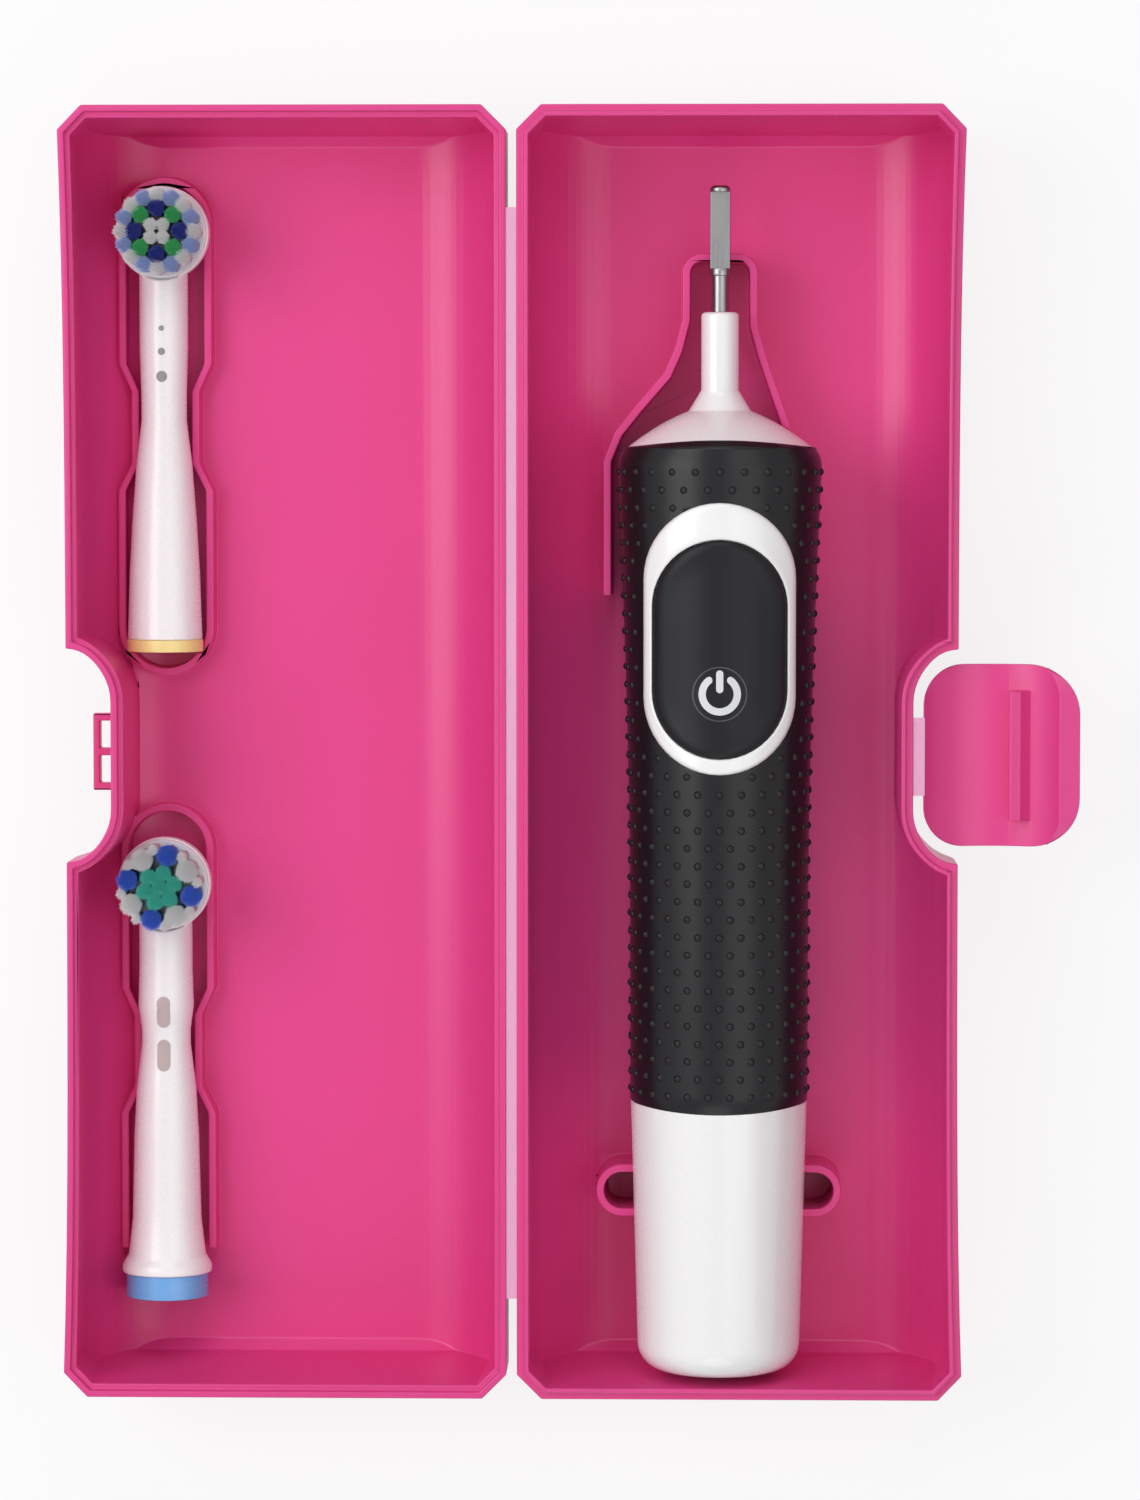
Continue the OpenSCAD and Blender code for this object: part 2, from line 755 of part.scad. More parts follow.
module shaft_seal() {
    color(charcoal) place_handle() translate([0, 0, neck_end - seal_l - 1])
        tube(neck_bore_r - run_gap, shaft_r + run_gap, seal_l);
}

// A plate across the frame, cut flat in front to clear the circuit board
module frame_plate(at, t) {
    translate([0, 0, at]) linear_extrude(t) difference() {
        circle(frame_r - frame_t / 2);
        translate([-frame_r, -2 * frame_r - board_y + fit_gap]) square(2 * frame_r);
    }
}

// Frame that carries the battery, the motor and the shaft's rear bearing
module chassis() {
    color([0.85, 0.85, 0.83]) place_handle() difference() {
        union() {
            intersection() {
                translate([0, 0, frame_start]) tube(frame_r, frame_r - frame_t, frame_end - frame_start);
                translate([-frame_r, 2, 0]) cube([2 * frame_r, frame_r, frame_end]);
            }
            frame_plate(frame_start, plate_t);
            frame_plate(cell_end + 1.2, plate_t);
            frame_plate(motor_end + fit_gap, plate_t);
            frame_plate(bearing_start, plate_t);
        }
        translate([0, 0, motor_end]) cylinder(r = 1.6, h = plate_t + 1);
        translate([0, gear_y, motor_end]) cylinder(r = axle_r, h = plate_t + 1);
        translate([0, 0, bearing_start - over]) cylinder(r = shaft_r + run_gap, h = plate_t + 2 * over);
    }
}

module battery_cell() {
    color([0.25, 0.55, 0.35]) place_handle() translate([0, 0, cell_start]) {
        cylinder(r = cell_r, h = cell_l - 1);
        translate([0, 0, cell_l - 1]) cylinder(r = 2.6, h = 1);
    }
}

// Nickel plates at both ends of the cell
module battery_contacts() {
    color(steel) place_handle() {
        for (at = [frame_start + plate_t, cell_end])
            translate([0, 0, at + 0.1]) cylinder(r = contact_r, h = contact_t);
    }
}

module motor() {
    color(steel) place_handle() {
        translate([0, 0, motor_start]) cylinder(r = motor_r, h = motor_l);
        translate([0, 0, motor_end]) cylinder(r = 1.4, h = plate_t);
    }
}

// Gear outline with straight-sided teeth
module gear(teeth, hole_r) {
    pitch = gear_m * teeth / 2;
    tip = pitch + 0.8 * gear_m;
    root = pitch - 1.1 * gear_m;
    step = 360 / teeth;
    difference() {
        polygon([for (i = [0 : teeth - 1],
            corner = [[root, -0.33], [tip, -0.12], [tip, 0.12], [root, 0.33]])
            let (a = (i + corner[1]) * step) corner[0] * [cos(a), sin(a)]]);
        circle(hole_r);
    }
}

// Pinion and the motor's own shaft, which turns with it
module motor_pinion() {
    color(copper) place_handle() {
        translate([0, 0, gear_start - 0.2]) linear_extrude(gear_t + 0.4) gear(pinion_teeth, 0.5);
        translate([0, 0, motor_end + plate_t + 0.1])
            cylinder(r = 0.6, h = gear_start - motor_end - plate_t + gear_t);
    }
}

// Gear with the crank pin that swings the rocker
module drive_gear() {
    color(white) place_handle() translate([0, gear_y, gear_start]) {
        linear_extrude(gear_t) rotate([0, 0, -90]) gear(gear_teeth, axle_r + run_gap);
        translate([0, crank_throw, gear_t - 0.5])
            cylinder(r = axle_r, h = rocker_start - gear_start - gear_t + 0.2);
    }
}

module gear_axle() {
    color(steel) place_handle() translate([0, gear_y, motor_end + fit_gap])
        cylinder(r = axle_r, h = gear_start + gear_t - motor_end - fit_gap + 0.2);
}

module circuit_board() {
    color([0.10, 0.40, 0.22]) place_handle()
        translate([-board_w / 2, -board_y - board_t, motor_start - board_low])
            cube([board_w, board_t, frame_end - motor_start]);
}

module button_switch() {
    color(charcoal) place_handle()
        translate([-switch_w / 2, -board_y - board_t - switch_t + 0.4, switch_at - switch_w / 2])
            cube([switch_w, switch_t - 0.4, switch_w]);
    color(charcoal) place_handle() translate([0, -board_y - board_t, switch_at]) rotate([90, 0, 0])
        cylinder(r = 1.4, h = switch_t);
}

// Winding of the charging coil, round the cap's tube
module charging_coil() {
    color(copper) place_handle() translate([0, 0, coil_start])
        tube(coil_r, cap_tube_r + 0.1, cap_tube_end - coil_start - 0.3);
}

// Plug in the handle's bottom end, with the hole for the charger's peg
module bottom_cap() {
    color(white) place_handle() difference() {
        union() {
            translate([0, 0, cap_lift]) cylinder(r = cap_r, h = cap_t);
            cylinder(r = cap_tube_r, h = cap_tube_end);
        }
        translate([0, 0, -over]) cylinder(r = peg_r, h = peg_deep + over);
        translate([0, 0, cap_lift + 1.3]) tube(cap_r + over, cap_r - 1.2, 1.6);
        translate([0, 0, -over]) tube(cap_r, peg_r, over + cap_lift);
    }
}

module cap_seal() {
    color(charcoal) place_handle() translate([0, 0, cap_lift + 2.1])
        rotate_extrude() translate([cap_r - 0.5, 0]) circle(0.66);
}

// ---- brush heads ----

// A head's own frame: z up its axis from its bottom end, and -y out of its bristles
module place_head(y, foot_r) {
    translate([lid_x - head_x, y, foot_axis_z(foot_r)]) rotate([-90, 0, 0]) children();
}

module place_upper() { place_head(upper_head_y, upper_foot_r) children(); }

module place_lower() { place_head(lower_head_y, lower_foot_r) children(); }

// Things on the disc's axle: z out of the bristles and x, y across the disc
module place_disc() {
    translate([0, 0, head_l]) rotate([90, 0, 0]) children();
}

// White sleeve with the round housing for the disc at its top, which is wider at its front
module head_sleeve(skirt) {
    flare_l = head_rim_r - head_cup_r;
    color(white) difference() {
        union() {
            rotate_extrude()
                polygon(concat([[0, skirt[0].y]], skirt,
                    [[skirt[len(skirt) - 1].x, head_l - 3], [0, head_l - 3]]));
            place_disc() {
                translate([0, 0, -cup_back]) cylinder(r = head_cup_r, h = cup_back + cup_front);
                translate([0, 0, cup_flare]) cylinder(r1 = head_cup_r, r2 = head_rim_r, h = flare_l);
                translate([0, 0, cup_flare + flare_l])
                    cylinder(r = head_rim_r, h = cup_front - cup_flare - flare_l);
            }
        }
        translate([0, 0, -over]) cylinder(r = socket_r, h = socket_l + over);
        cylinder(r = link_r + 0.5, h = head_l);
        place_disc() translate([0, 0, -cup_hole_back])
            cylinder(r = cup_hole_r, h = cup_hole_back + cup_front + over);
        place_disc() translate([0, 0, -cup_back + 0.7]) cylinder(r = pin_r, h = cup_back);
        // room for the disc in front of the neck
        place_disc() translate([0, 0, cup_front]) cylinder(r = disc_r + head_gap, h = disc_t + over);
    }
}

// Rod inside the sleeve: the shaft's end grips it, and its post swings the disc
module head_link() {
    rod_end = head_l - pin_r - 1.1;
    color([0.80, 0.82, 0.84]) {
        translate([0, 0, socket_l + 2]) cylinder(r = link_r, h = rod_end - socket_l - 2);
        translate([0, 0, head_l - post_at]) rotate([90, 0, 0]) cylinder(r = post_r, h = -disc_z + 0.45);
    }
}

module head_pin() {
    color(steel) place_disc() translate([0, 0, -cup_back + 0.7])
        cylinder(r = pin_r, h = cup_back - disc_z + 0.4);
}

// Disc that carries the bristles, on the pin, with the slot for the link's post
module head_disc() {
    color([0.88, 0.92, 0.96]) place_disc() difference() {
        union() {
            translate([0, 0, -disc_z]) cylinder(r = disc_r, h = disc_t);
            translate([0, 0, -disc_z - 1]) cylinder(r = 1.25, h = 1.2);
        }
        translate([0, 0, -disc_z - over]) cylinder(r = pin_r + run_gap, h = over + 1.2);
        translate([0, -post_at, -disc_z - 0.4]) linear_extrude(1.1)
            square([2 * post_r + 0.6, 2 * post_r + 0.5], center = true);
    }
}

// One strand: a straight three-sided rod with a slanted foot and tip
module strand(x, y, foot, tip, turn) {
    ring = [for (k = [0 : 2]) strand_r * [cos(turn + 120 * k), sin(turn + 120 * k)]];
    polyhedron(
        points = [for (z = [foot, tip], p = ring) [x + p.x, y + p.y, z]],
        faces = [[0, 1, 2], [5, 4, 3], [0, 3, 4], [0, 4, 1], [1, 4, 5], [1, 5, 2],
            [2, 5, 3], [2, 3, 0]]);
}

// A ring of tufts, each of one strand and six round it, on a slice of the disc's face
module tufts(count, ring_r, inner, outer, start) {
    face = -disc_z + disc_t;
    place_disc() {
        translate([0, 0, face]) {
            if (inner > 0) tube(outer, inner, slice_t);
            else cylinder(r = outer, h = slice_t);
        }
        for (i = [0 : count - 1], j = [0 : 6])
            let (a = start + 360 * i / count, off = j == 0 ? 0 : tuft_pitch,
                x = ring_r * cos(a) + off * cos(a + 60 * j),
                y = ring_r * sin(a) + off * sin(a + 60 * j))
            strand(x, y, face + slice_t / 2, face + tuft_l - 0.04 * (x * x + y * y) / 2, 50 * j);
    }
}

// Where one ring of tufts ends and the next begins
outer_slice = (outer_tuft_r + middle_tuft_r) / 2;
middle_slice = (middle_tuft_r + centre_tuft_r) / 2;

module outer_tufts(count, start) {
    tufts(count, outer_tuft_r, outer_slice + ring_gap, disc_r - 0.1, start);
}

module middle_tufts(count, start) {
    tufts(count, middle_tuft_r, middle_slice + ring_gap, outer_slice, start);
}

module centre_tufts(count, start) {
    tufts(count, centre_tuft_r, 0, middle_slice, start);
}

// Outlines of both sleeves, from the foot up
upper_skirt = [[upper_foot_r - 0.15, upper_ring_l], [5.8, 13], [5.3, 22], [4.6, 31],
    [upper_waist_r, 38], [upper_waist_r, 42], [4, 50]];
lower_skirt = [[lower_foot_r, lower_ring_l], [lower_foot_r, lower_ring_l + 1.2],
    [lower_foot_r - 1, lower_ring_l + lower_lip_l], [5.7, 13], [5.35, 27], [4.95, 34.5],
    [lower_waist_r, 42], [lower_waist_r, 44.5], [4.6, 48.5], [4.4, 55]];

module upper_head_sleeve() { place_upper() head_sleeve(upper_skirt); }

module lower_head_sleeve() { place_lower() head_sleeve(lower_skirt); }

module upper_head_ring() {
    color([0.98, 0.80, 0.15]) place_upper() tube(upper_foot_r, socket_r, upper_ring_l);
}

module lower_head_ring() {
    color([0.20, 0.50, 0.85]) place_lower() tube(lower_foot_r - 0.65, socket_r, lower_ring_l);
}

module upper_head_link() { place_upper() head_link(); }

module lower_head_link() { place_lower() head_link(); }

module upper_head_pin() { place_upper() head_pin(); }

module lower_head_pin() { place_lower() head_pin(); }

module upper_head_disc() { place_upper() head_disc(); }

module lower_head_disc() { place_lower() head_disc(); }

module upper_outer_bristles() { color([0.45, 0.60, 0.90]) place_upper() outer_tufts(12, 0); }

module upper_middle_bristles() { color([0.25, 0.65, 0.35]) place_upper() middle_tufts(8, 0); }

module upper_centre_bristles() { color(white) place_upper() centre_tufts(4, 45); }

module lower_outer_bristles() { color([0.15, 0.30, 0.75]) place_lower() outer_tufts(12, -22); }

module lower_middle_bristles() { color(white) place_lower() middle_tufts(8, 22.5); }

module lower_centre_bristles() { color([0.15, 0.65, 0.55]) place_lower() centre_tufts(4, 0); }

base_shell();
lid_shell();
lid_hinge_strip();
latch_flap();
latch_hinge_strip();
main_housing();
grip_sleeve();
button_bezel();
power_button();
drive_shaft();
rocker_arm();
shaft_bushing();
shaft_seal();
chassis();
battery_cell();
battery_contacts();
motor();
motor_pinion();
drive_gear();
gear_axle();
circuit_board();
button_switch();
charging_coil();
bottom_cap();
cap_seal();
upper_head_sleeve();
upper_head_ring();
upper_head_link();
upper_head_pin();
upper_head_disc();
upper_outer_bristles();
upper_middle_bristles();
upper_centre_bristles();
lower_head_sleeve();
lower_head_ring();
lower_head_link();
lower_head_pin();
lower_head_disc();
lower_outer_bristles();
lower_middle_bristles();
lower_centre_bristles();
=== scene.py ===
# %% [markdown]
# # A toothbrush travel case, lying open on its back
# The case is two moulded halves joined by a thin film. It holds a toothbrush handle in its base
# and two spare heads in its lid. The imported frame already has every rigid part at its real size
# and place, so this script is about finish: soft edges, rubber bumps, bristles, films, marks,
# light and colour. Everything is in metres, in the frame's own axes.

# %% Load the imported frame
import json
from math import cos, pi, radians, sin, sqrt

import bmesh
import bpy
from mathutils import Matrix, Vector
from mathutils.bvhtree import BVHTree


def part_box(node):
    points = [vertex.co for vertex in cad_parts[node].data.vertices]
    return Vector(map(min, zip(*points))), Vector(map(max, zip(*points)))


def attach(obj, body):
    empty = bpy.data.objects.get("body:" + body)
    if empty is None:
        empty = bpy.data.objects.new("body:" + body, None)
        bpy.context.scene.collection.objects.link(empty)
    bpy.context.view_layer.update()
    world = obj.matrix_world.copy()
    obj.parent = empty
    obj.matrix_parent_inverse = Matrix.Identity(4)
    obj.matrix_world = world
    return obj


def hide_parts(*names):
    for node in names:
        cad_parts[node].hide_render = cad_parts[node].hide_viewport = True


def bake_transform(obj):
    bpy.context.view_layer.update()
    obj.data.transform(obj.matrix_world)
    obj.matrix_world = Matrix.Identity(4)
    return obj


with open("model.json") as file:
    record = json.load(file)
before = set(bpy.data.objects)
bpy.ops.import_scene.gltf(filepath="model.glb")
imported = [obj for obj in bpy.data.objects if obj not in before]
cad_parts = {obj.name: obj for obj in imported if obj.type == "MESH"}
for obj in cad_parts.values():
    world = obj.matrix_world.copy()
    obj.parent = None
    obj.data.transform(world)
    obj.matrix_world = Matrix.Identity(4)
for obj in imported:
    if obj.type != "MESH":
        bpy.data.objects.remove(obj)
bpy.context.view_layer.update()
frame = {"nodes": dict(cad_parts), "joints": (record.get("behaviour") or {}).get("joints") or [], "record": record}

MM = 0.001
scene = bpy.context.scene


def mm(*values):
    """A vector given in millimetres."""
    return Vector([value * MM for value in values])


# %% [markdown]
# ## Camera
# The case was photographed from straight above, from far away, with a long lens. A long lens
# keeps the walls from spreading. The camera stands a little towards the brush end, so the far
# walls show their inside. It is aimed with its own up direction along the case, because a
# camera that looks straight down has no natural up.

# %% Camera
CAMERA_PLACE = mm(-6, 52, 875)
CAMERA_AIM = mm(-27.8, 0.5, 18)
FRAME_WIDTH = 184 * MM
RIM_HEIGHT = 27 * MM
SENSOR = 36

camera_data = bpy.data.cameras.new("long_lens")
camera_data.sensor_fit = "HORIZONTAL"
camera_data.sensor_width = SENSOR
camera_data.lens = SENSOR * (CAMERA_PLACE.z - RIM_HEIGHT) / FRAME_WIDTH
camera_data.clip_end = 10
camera = bpy.data.objects.new("long_lens", camera_data)
scene.collection.objects.link(camera)
forward = (CAMERA_AIM - CAMERA_PLACE).normalized()
right = forward.cross(Vector((0, 1, 0))).normalized()
turn = Matrix((right, right.cross(forward), -forward)).transposed()
camera.matrix_world = Matrix.Translation(CAMERA_PLACE) @ turn.to_4x4()
scene.camera = camera
print("lens:", round(camera_data.lens), "mm")

# %% [markdown]
# ## Building nodes in a few words
# Materials and Geometry Nodes are both trees of nodes. Two small helpers keep the trees
# readable: one adds a node and fills or links its sockets, the other does a sum.

# %% Helpers for node trees
def add(tree, kind, inputs=(), **settings):
    """Adds a node. Inputs pairs a socket's name or number with a value or with its feed."""
    made = tree.nodes.new(kind)
    for name, value in settings.items():
        setattr(made, name, value)
    for key, value in dict(inputs).items():
        if isinstance(value, bpy.types.NodeSocket):
            tree.links.new(value, made.inputs[key])
        else:
            made.inputs[key].default_value = value
    return made


def calc(tree, operation, *values):
    """Adds a Math node and returns its result."""
    return add(tree, "ShaderNodeMath", enumerate(values), operation=operation).outputs[0]


# %% [markdown]
# ## Light and background
# Glossy plastic needs something large and soft to reflect. The world is a plain fill for the
# surfaces, and pure white where the camera or a reflection sees it. A big lamp on the left is
# the key light, so the left walls fall into shadow and the right ones catch it, and a weaker
# one on the right opens the shadows.

# %% World and lamps
WORLD_FILL = 0.24
LAMPS = {
    "key_left": (mm(-520, 160, 620), 0.50, 3.0),
    "fill_right": (mm(380, -60, 760), 0.55, 1.35),
    "foot_end": (mm(-40, -620, 560), 0.45, 1.15),
    "brush_end": (mm(-20, 560, 560), 0.45, 1.25),
}


def seen_ray(tree):
    """1 where the camera, a reflection or a transparent surface looks straight at this."""
    path = add(tree, "ShaderNodeLightPath")
    both = calc(tree, "MAXIMUM", path.outputs["Is Camera Ray"], path.outputs["Is Glossy Ray"])
    return calc(tree, "MAXIMUM", both, path.outputs["Is Transmission Ray"])


world = bpy.data.worlds.new("studio")
world.use_nodes = True
world.node_tree.nodes.clear()
fill = add(world.node_tree, "ShaderNodeBackground", {"Strength": WORLD_FILL})
white = add(world.node_tree, "ShaderNodeBackground", {"Strength": 1.0})
fill.inputs["Color"].default_value = white.inputs["Color"].default_value = (1, 1, 1, 1)
either = add(world.node_tree, "ShaderNodeMixShader",
             {0: seen_ray(world.node_tree), 1: fill.outputs[0], 2: white.outputs[0]})
add(world.node_tree, "ShaderNodeOutputWorld", {"Surface": either.outputs[0]})
scene.world = world

for name, (place, size, power) in LAMPS.items():
    lamp = bpy.data.lights.new(name, "AREA")
    lamp.size = size
    lamp.energy = power
    holder = bpy.data.objects.new(name, lamp)
    holder.rotation_euler = (CAMERA_AIM - place).to_track_quat("-Z", "Y").to_euler()
    holder.location = place
    scene.collection.objects.link(holder)
scene.view_settings.view_transform = "Standard"
print("lamps:", ", ".join(LAMPS))

# %% [markdown]
# The floor is white paper. Seen by the camera it is mostly a plain white that no lamp can
# change, with enough ordinary diffuse left in it to keep the soft shadow under the case.

# %% Floor
FLOOR_GLOW = 0.82
FLOOR_REACH = 2
FLOOR_DROP = 0.0003
floor_mesh = bpy.data.meshes.new("paper_floor")
floor_mesh.from_pydata([(x * FLOOR_REACH, y * FLOOR_REACH, -FLOOR_DROP)
                        for x, y in ((-1, -1), (1, -1), (1, 1), (-1, 1))], [], [(0, 1, 2, 3)])
floor = bpy.data.objects.new("paper_floor", floor_mesh)
scene.collection.objects.link(floor)
paper = bpy.data.materials.new("paper")
paper.use_nodes = True
paper.node_tree.nodes.clear()
matte = add(paper.node_tree, "ShaderNodeBsdfDiffuse", {"Color": (0.93, 0.93, 0.93, 1)})
glow = add(paper.node_tree, "ShaderNodeEmission", {"Color": (1, 1, 1, 1), "Strength": 1.0})
share = calc(paper.node_tree, "MULTIPLY", seen_ray(paper.node_tree), FLOOR_GLOW)
surface = add(paper.node_tree, "ShaderNodeMixShader",
              {0: share, 1: matte.outputs[0], 2: glow.outputs[0]})
add(paper.node_tree, "ShaderNodeOutputMaterial", {"Surface": surface.outputs[0]})
floor_mesh.materials.append(paper)

# %% [markdown]
# ## Finishes
# Moulded plastic is never one flat colour. Its tone drifts a little where the wall thickness
# changes, its gloss varies with handling, and its skin has a fine grain from the mould. One
# recipe with a few amounts gives all the plastics and rubbers here. The pattern is read from
# Object coordinates, so it stays on the piece when the piece moves.

# %% Recipe for plastic, rubber and metal
DRIFT_SCALE = 45.0
GLOSS_CHANGE = 0.06
RELIEF_DEPTH = 0.1 * MM


def finish(name, colour, rough, drift=0.05, grain=0.12, grain_size=0.35, stretch=(1, 1, 1),
           **constants):
    """A material with a drifting tone, uneven gloss and a fine grain of that size in mm."""
    material = bpy.data.materials.new(name)
    material.use_nodes = True
    tree = material.node_tree
    shader = tree.nodes["Principled BSDF"]
    on_piece = add(tree, "ShaderNodeTexCoord").outputs["Object"]
    where = add(tree, "ShaderNodeMapping", {"Vector": on_piece, "Scale": stretch})
    broad = add(tree, "ShaderNodeTexNoise",
                {"Vector": where.outputs[0], "Scale": DRIFT_SCALE, "Detail": 2.0})
    fine = add(tree, "ShaderNodeTexNoise",
               {"Vector": where.outputs[0], "Scale": 1 / (grain_size * MM), "Detail": 2.0})
    dark = [channel * (1 - drift) for channel in colour] + [1]
    light = [min(1, channel * (1 + drift)) for channel in colour] + [1]
    tone = add(tree, "ShaderNodeMix", {0: broad.outputs[0], 6: dark, 7: light}, data_type="RGBA")
    tree.links.new(tone.outputs[2], shader.inputs["Base Color"])
    gloss = add(tree, "ShaderNodeMapRange", {0: fine.outputs[0], 1: 0.3, 2: 0.7,
                                             3: rough - GLOSS_CHANGE, 4: rough + GLOSS_CHANGE})
    tree.links.new(gloss.outputs[0], shader.inputs["Roughness"])
    relief = add(tree, "ShaderNodeBump", {"Strength": grain, "Distance": RELIEF_DEPTH,
                                          "Height": fine.outputs[0]})
    tree.links.new(relief.outputs[0], shader.inputs["Normal"])
    for socket, value in constants.items():
        shader.inputs[socket.replace("_", " ")].default_value = value
    return material


def bristle_finish_with_painted_shade(name, colour, root_height, tip_height):
    """Nylon strands with painted shade: the colour darkens towards the root, for the shade between the strands."""
    material = finish(name, colour, 0.38, drift=0.12, grain=0.0, grain_size=0.5)
    tree = material.node_tree
    shader = tree.nodes["Principled BSDF"]
    height = add(tree, "ShaderNodeSeparateXYZ",
                 {0: add(tree, "ShaderNodeTexCoord").outputs["Object"]}).outputs[2]
    along = add(tree, "ShaderNodeMapRange", {0: height, 1: root_height, 2: tip_height,
                                             3: 0.7, 4: 1.0})
    tone = shader.inputs["Base Color"].links[0].from_socket
    # Painted shade: the colour is multiplied from 0.7 at the root up to 1.0 at the tips, for the shade between the
    # strands.
    painted_root_shade = add(tree, "ShaderNodeMix", {0: 1.0, 6: tone, 7: along.outputs[0]},
                 data_type="RGBA", blend_type="MULTIPLY")
    tree.links.new(painted_root_shade.outputs[2], shader.inputs["Base Color"])
    return material


# %% The finishes of this object
PINK = (0.750, 0.054, 0.262)
FINISHES = {
    "case_pink": finish("case_pink", PINK, 0.33, drift=0.035, grain=0.08, grain_size=0.30,
                        Specular_IOR_Level=0.40),
    # Painted light, in part: the film is paler than the case partly from the thin film's own tone and partly from
    # light shining through it, painted into its colour.
    "film_pink": finish("film_pink", (0.88, 0.42, 0.62), 0.30, drift=0.03, grain=0.05,
                        Subsurface_Weight=0.3, Subsurface_Scale=0.002),
    "handle_white": finish("handle_white", (0.93, 0.925, 0.93), 0.24, drift=0.015, grain=0.03,
                           Coat_Weight=0.15),
    "grip_rubber": finish("grip_rubber", (0.008, 0.0075, 0.0095), 0.30, drift=0.12, grain=0.14,
                          grain_size=0.16, Specular_IOR_Level=0.24),
    "button_black": finish("button_black", (0.010, 0.0095, 0.012), 0.40, drift=0.10, grain=0.06,
                           grain_size=0.2, Specular_IOR_Level=0.18),
    "shaft_steel": finish("shaft_steel", (0.25, 0.25, 0.255), 0.30, drift=0.05, grain=0.10,
                          stretch=(1, 0.05, 1), Metallic=1.0),
    "bushing_brass": finish("bushing_brass", (0.62, 0.42, 0.22), 0.35, Metallic=1.0),
    "seal_rubber": finish("seal_rubber", (0.030, 0.030, 0.031), 0.60, drift=0.10, grain=0.2),
    "frame_plastic": finish("frame_plastic", (0.66, 0.66, 0.63), 0.50, grain=0.15),
    "cell_wrap": finish("cell_wrap", (0.06, 0.26, 0.12), 0.28, grain=0.05, Coat_Weight=0.3),
    "contact_nickel": finish("contact_nickel", (0.60, 0.58, 0.54), 0.32, Metallic=1.0),
    "motor_can": finish("motor_can", (0.52, 0.53, 0.55), 0.28, stretch=(1, 0.06, 1), Metallic=1.0),
    "board_green": finish("board_green", (0.012, 0.10, 0.035), 0.40, grain=0.12),
    "coil_copper": finish("coil_copper", (0.62, 0.24, 0.11), 0.35, grain=0.3, grain_size=0.25,
                          stretch=(1, 6, 1), Metallic=1.0),
    "head_white": finish("head_white", (0.93, 0.925, 0.935), 0.26, drift=0.015, grain=0.03,
                         Subsurface_Weight=0.08, Subsurface_Scale=0.002),
    "ring_yellow": finish("ring_yellow", (0.94, 0.76, 0.30), 0.30, drift=0.04, grain=0.04),
    "ring_blue": finish("ring_blue", (0.17, 0.44, 0.84), 0.30, drift=0.05, grain=0.04),
    "link_plastic": finish("link_plastic", (0.62, 0.64, 0.66), 0.45),
    "disc_plastic": finish("disc_plastic", (0.84, 0.87, 0.91), 0.25, drift=0.04, grain=0.03),
    "symbol_grey": finish("symbol_grey", (0.74, 0.75, 0.78), 0.45, drift=0.03, grain=0.05),
    "symbol_ring": finish("symbol_ring", (0.050, 0.048, 0.052), 0.42, drift=0.05, grain=0.05),
    "mark_grey": finish("mark_grey", (0.30, 0.29, 0.30), 0.50, drift=0.06, grain=0.08),
    "mark_pale": finish("mark_pale", (0.50, 0.42, 0.41), 0.45, drift=0.06, grain=0.08),
}
print("finishes:", len(FINISHES))

# %% [markdown]
# ## Soft edges on the moulded parts
# A moulded part has no knife edges: every corner is rounded by the tool, and that thin
# highlight along the edges is what makes it read as plastic. The frame's meshes are loose
# triangles with sharp edges, and they must not change. So each visible part is copied, its
# triangles are joined, its flat faces are made whole, and a Bevel modifier rounds what is
# sharp. Weighted normals then keep the flat faces flat.

# %% Dressing a part from the frame
WELD = 0.004 * MM
FLAT = radians(0.6)
SHARP = radians(32)
CUT_TOLERANCE = 1e-7


def joined_copy(node):
    """The node's mesh with its loose triangles joined and its flat faces whole."""
    work = bmesh.new()
    work.from_mesh(frame["nodes"][node].data)
    bmesh.ops.remove_doubles(work, verts=work.verts, dist=WELD)
    bmesh.ops.dissolve_limit(work, angle_limit=FLAT, verts=work.verts, edges=work.edges)
    work.verts.index_update()
    points = [vertex.co.copy() for vertex in work.verts]
    faces = [[vertex.index for vertex in face.verts] for face in work.faces]
    work.free()
    clean = bmesh.new()
    made = [clean.verts.new(point) for point in points]
    for face in faces:
        clean.faces.new([made[i] for i in face])
    clean.normal_update()
    return clean


def sliced(work, normal, levels):
    """Adds edges where planes with that normal cut through, one at each level."""
    for level in levels:
        bmesh.ops.bisect_plane(work, geom=work.verts[:] + work.edges[:] + work.faces[:],
                               dist=CUT_TOLERANCE, plane_co=normal * level, plane_no=normal)


def as_object(name, work):
    """Turns a bmesh into an object at the origin."""
    mesh = bpy.data.meshes.new(name)
    work.to_mesh(mesh)
    work.free()
    made = bpy.data.objects.new(name, mesh)
    scene.collection.objects.link(made)
    return made


def applied(piece):
    """Applies a piece's modifiers, so that what is left is a plain mesh."""
    graph = bpy.context.evaluated_depsgraph_get()
    mesh = bpy.data.meshes.new_from_object(piece.evaluated_get(graph),
                                           preserve_all_data_layers=True, depsgraph=graph)
    piece.modifiers.clear()
    piece.data = mesh
    return piece


def hand_over(piece, body, slot, nodes=(), material=None):
    """Gives a finished piece its material and its body, and hides the nodes that it stands for."""
    piece.data.materials.clear()
    piece.data.materials.append(FINISHES[material or slot])
    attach(piece, body)
    if nodes:
        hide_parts(*nodes)
    print(piece.name, len(piece.data.polygons), "faces")
    return piece


def soften(piece, width, steps=2):
    """Rounds the sharp edges and shades the piece smooth, with flat faces kept flat."""
    for face in piece.data.polygons:
        face.use_smooth = True
    bevel = piece.modifiers.new("soft_edges", "BEVEL")
    bevel.width = width
    bevel.segments = steps
    bevel.limit_method = "ANGLE"
    bevel.angle_limit = SHARP
    bevel.use_clamp_overlap = False
    bevel.miter_outer = "MITER_SHARP"
    normals = piece.modifiers.new("even_shading", "WEIGHTED_NORMAL")
    normals.keep_sharp = False
    normals.weight = 80
    return applied(piece)


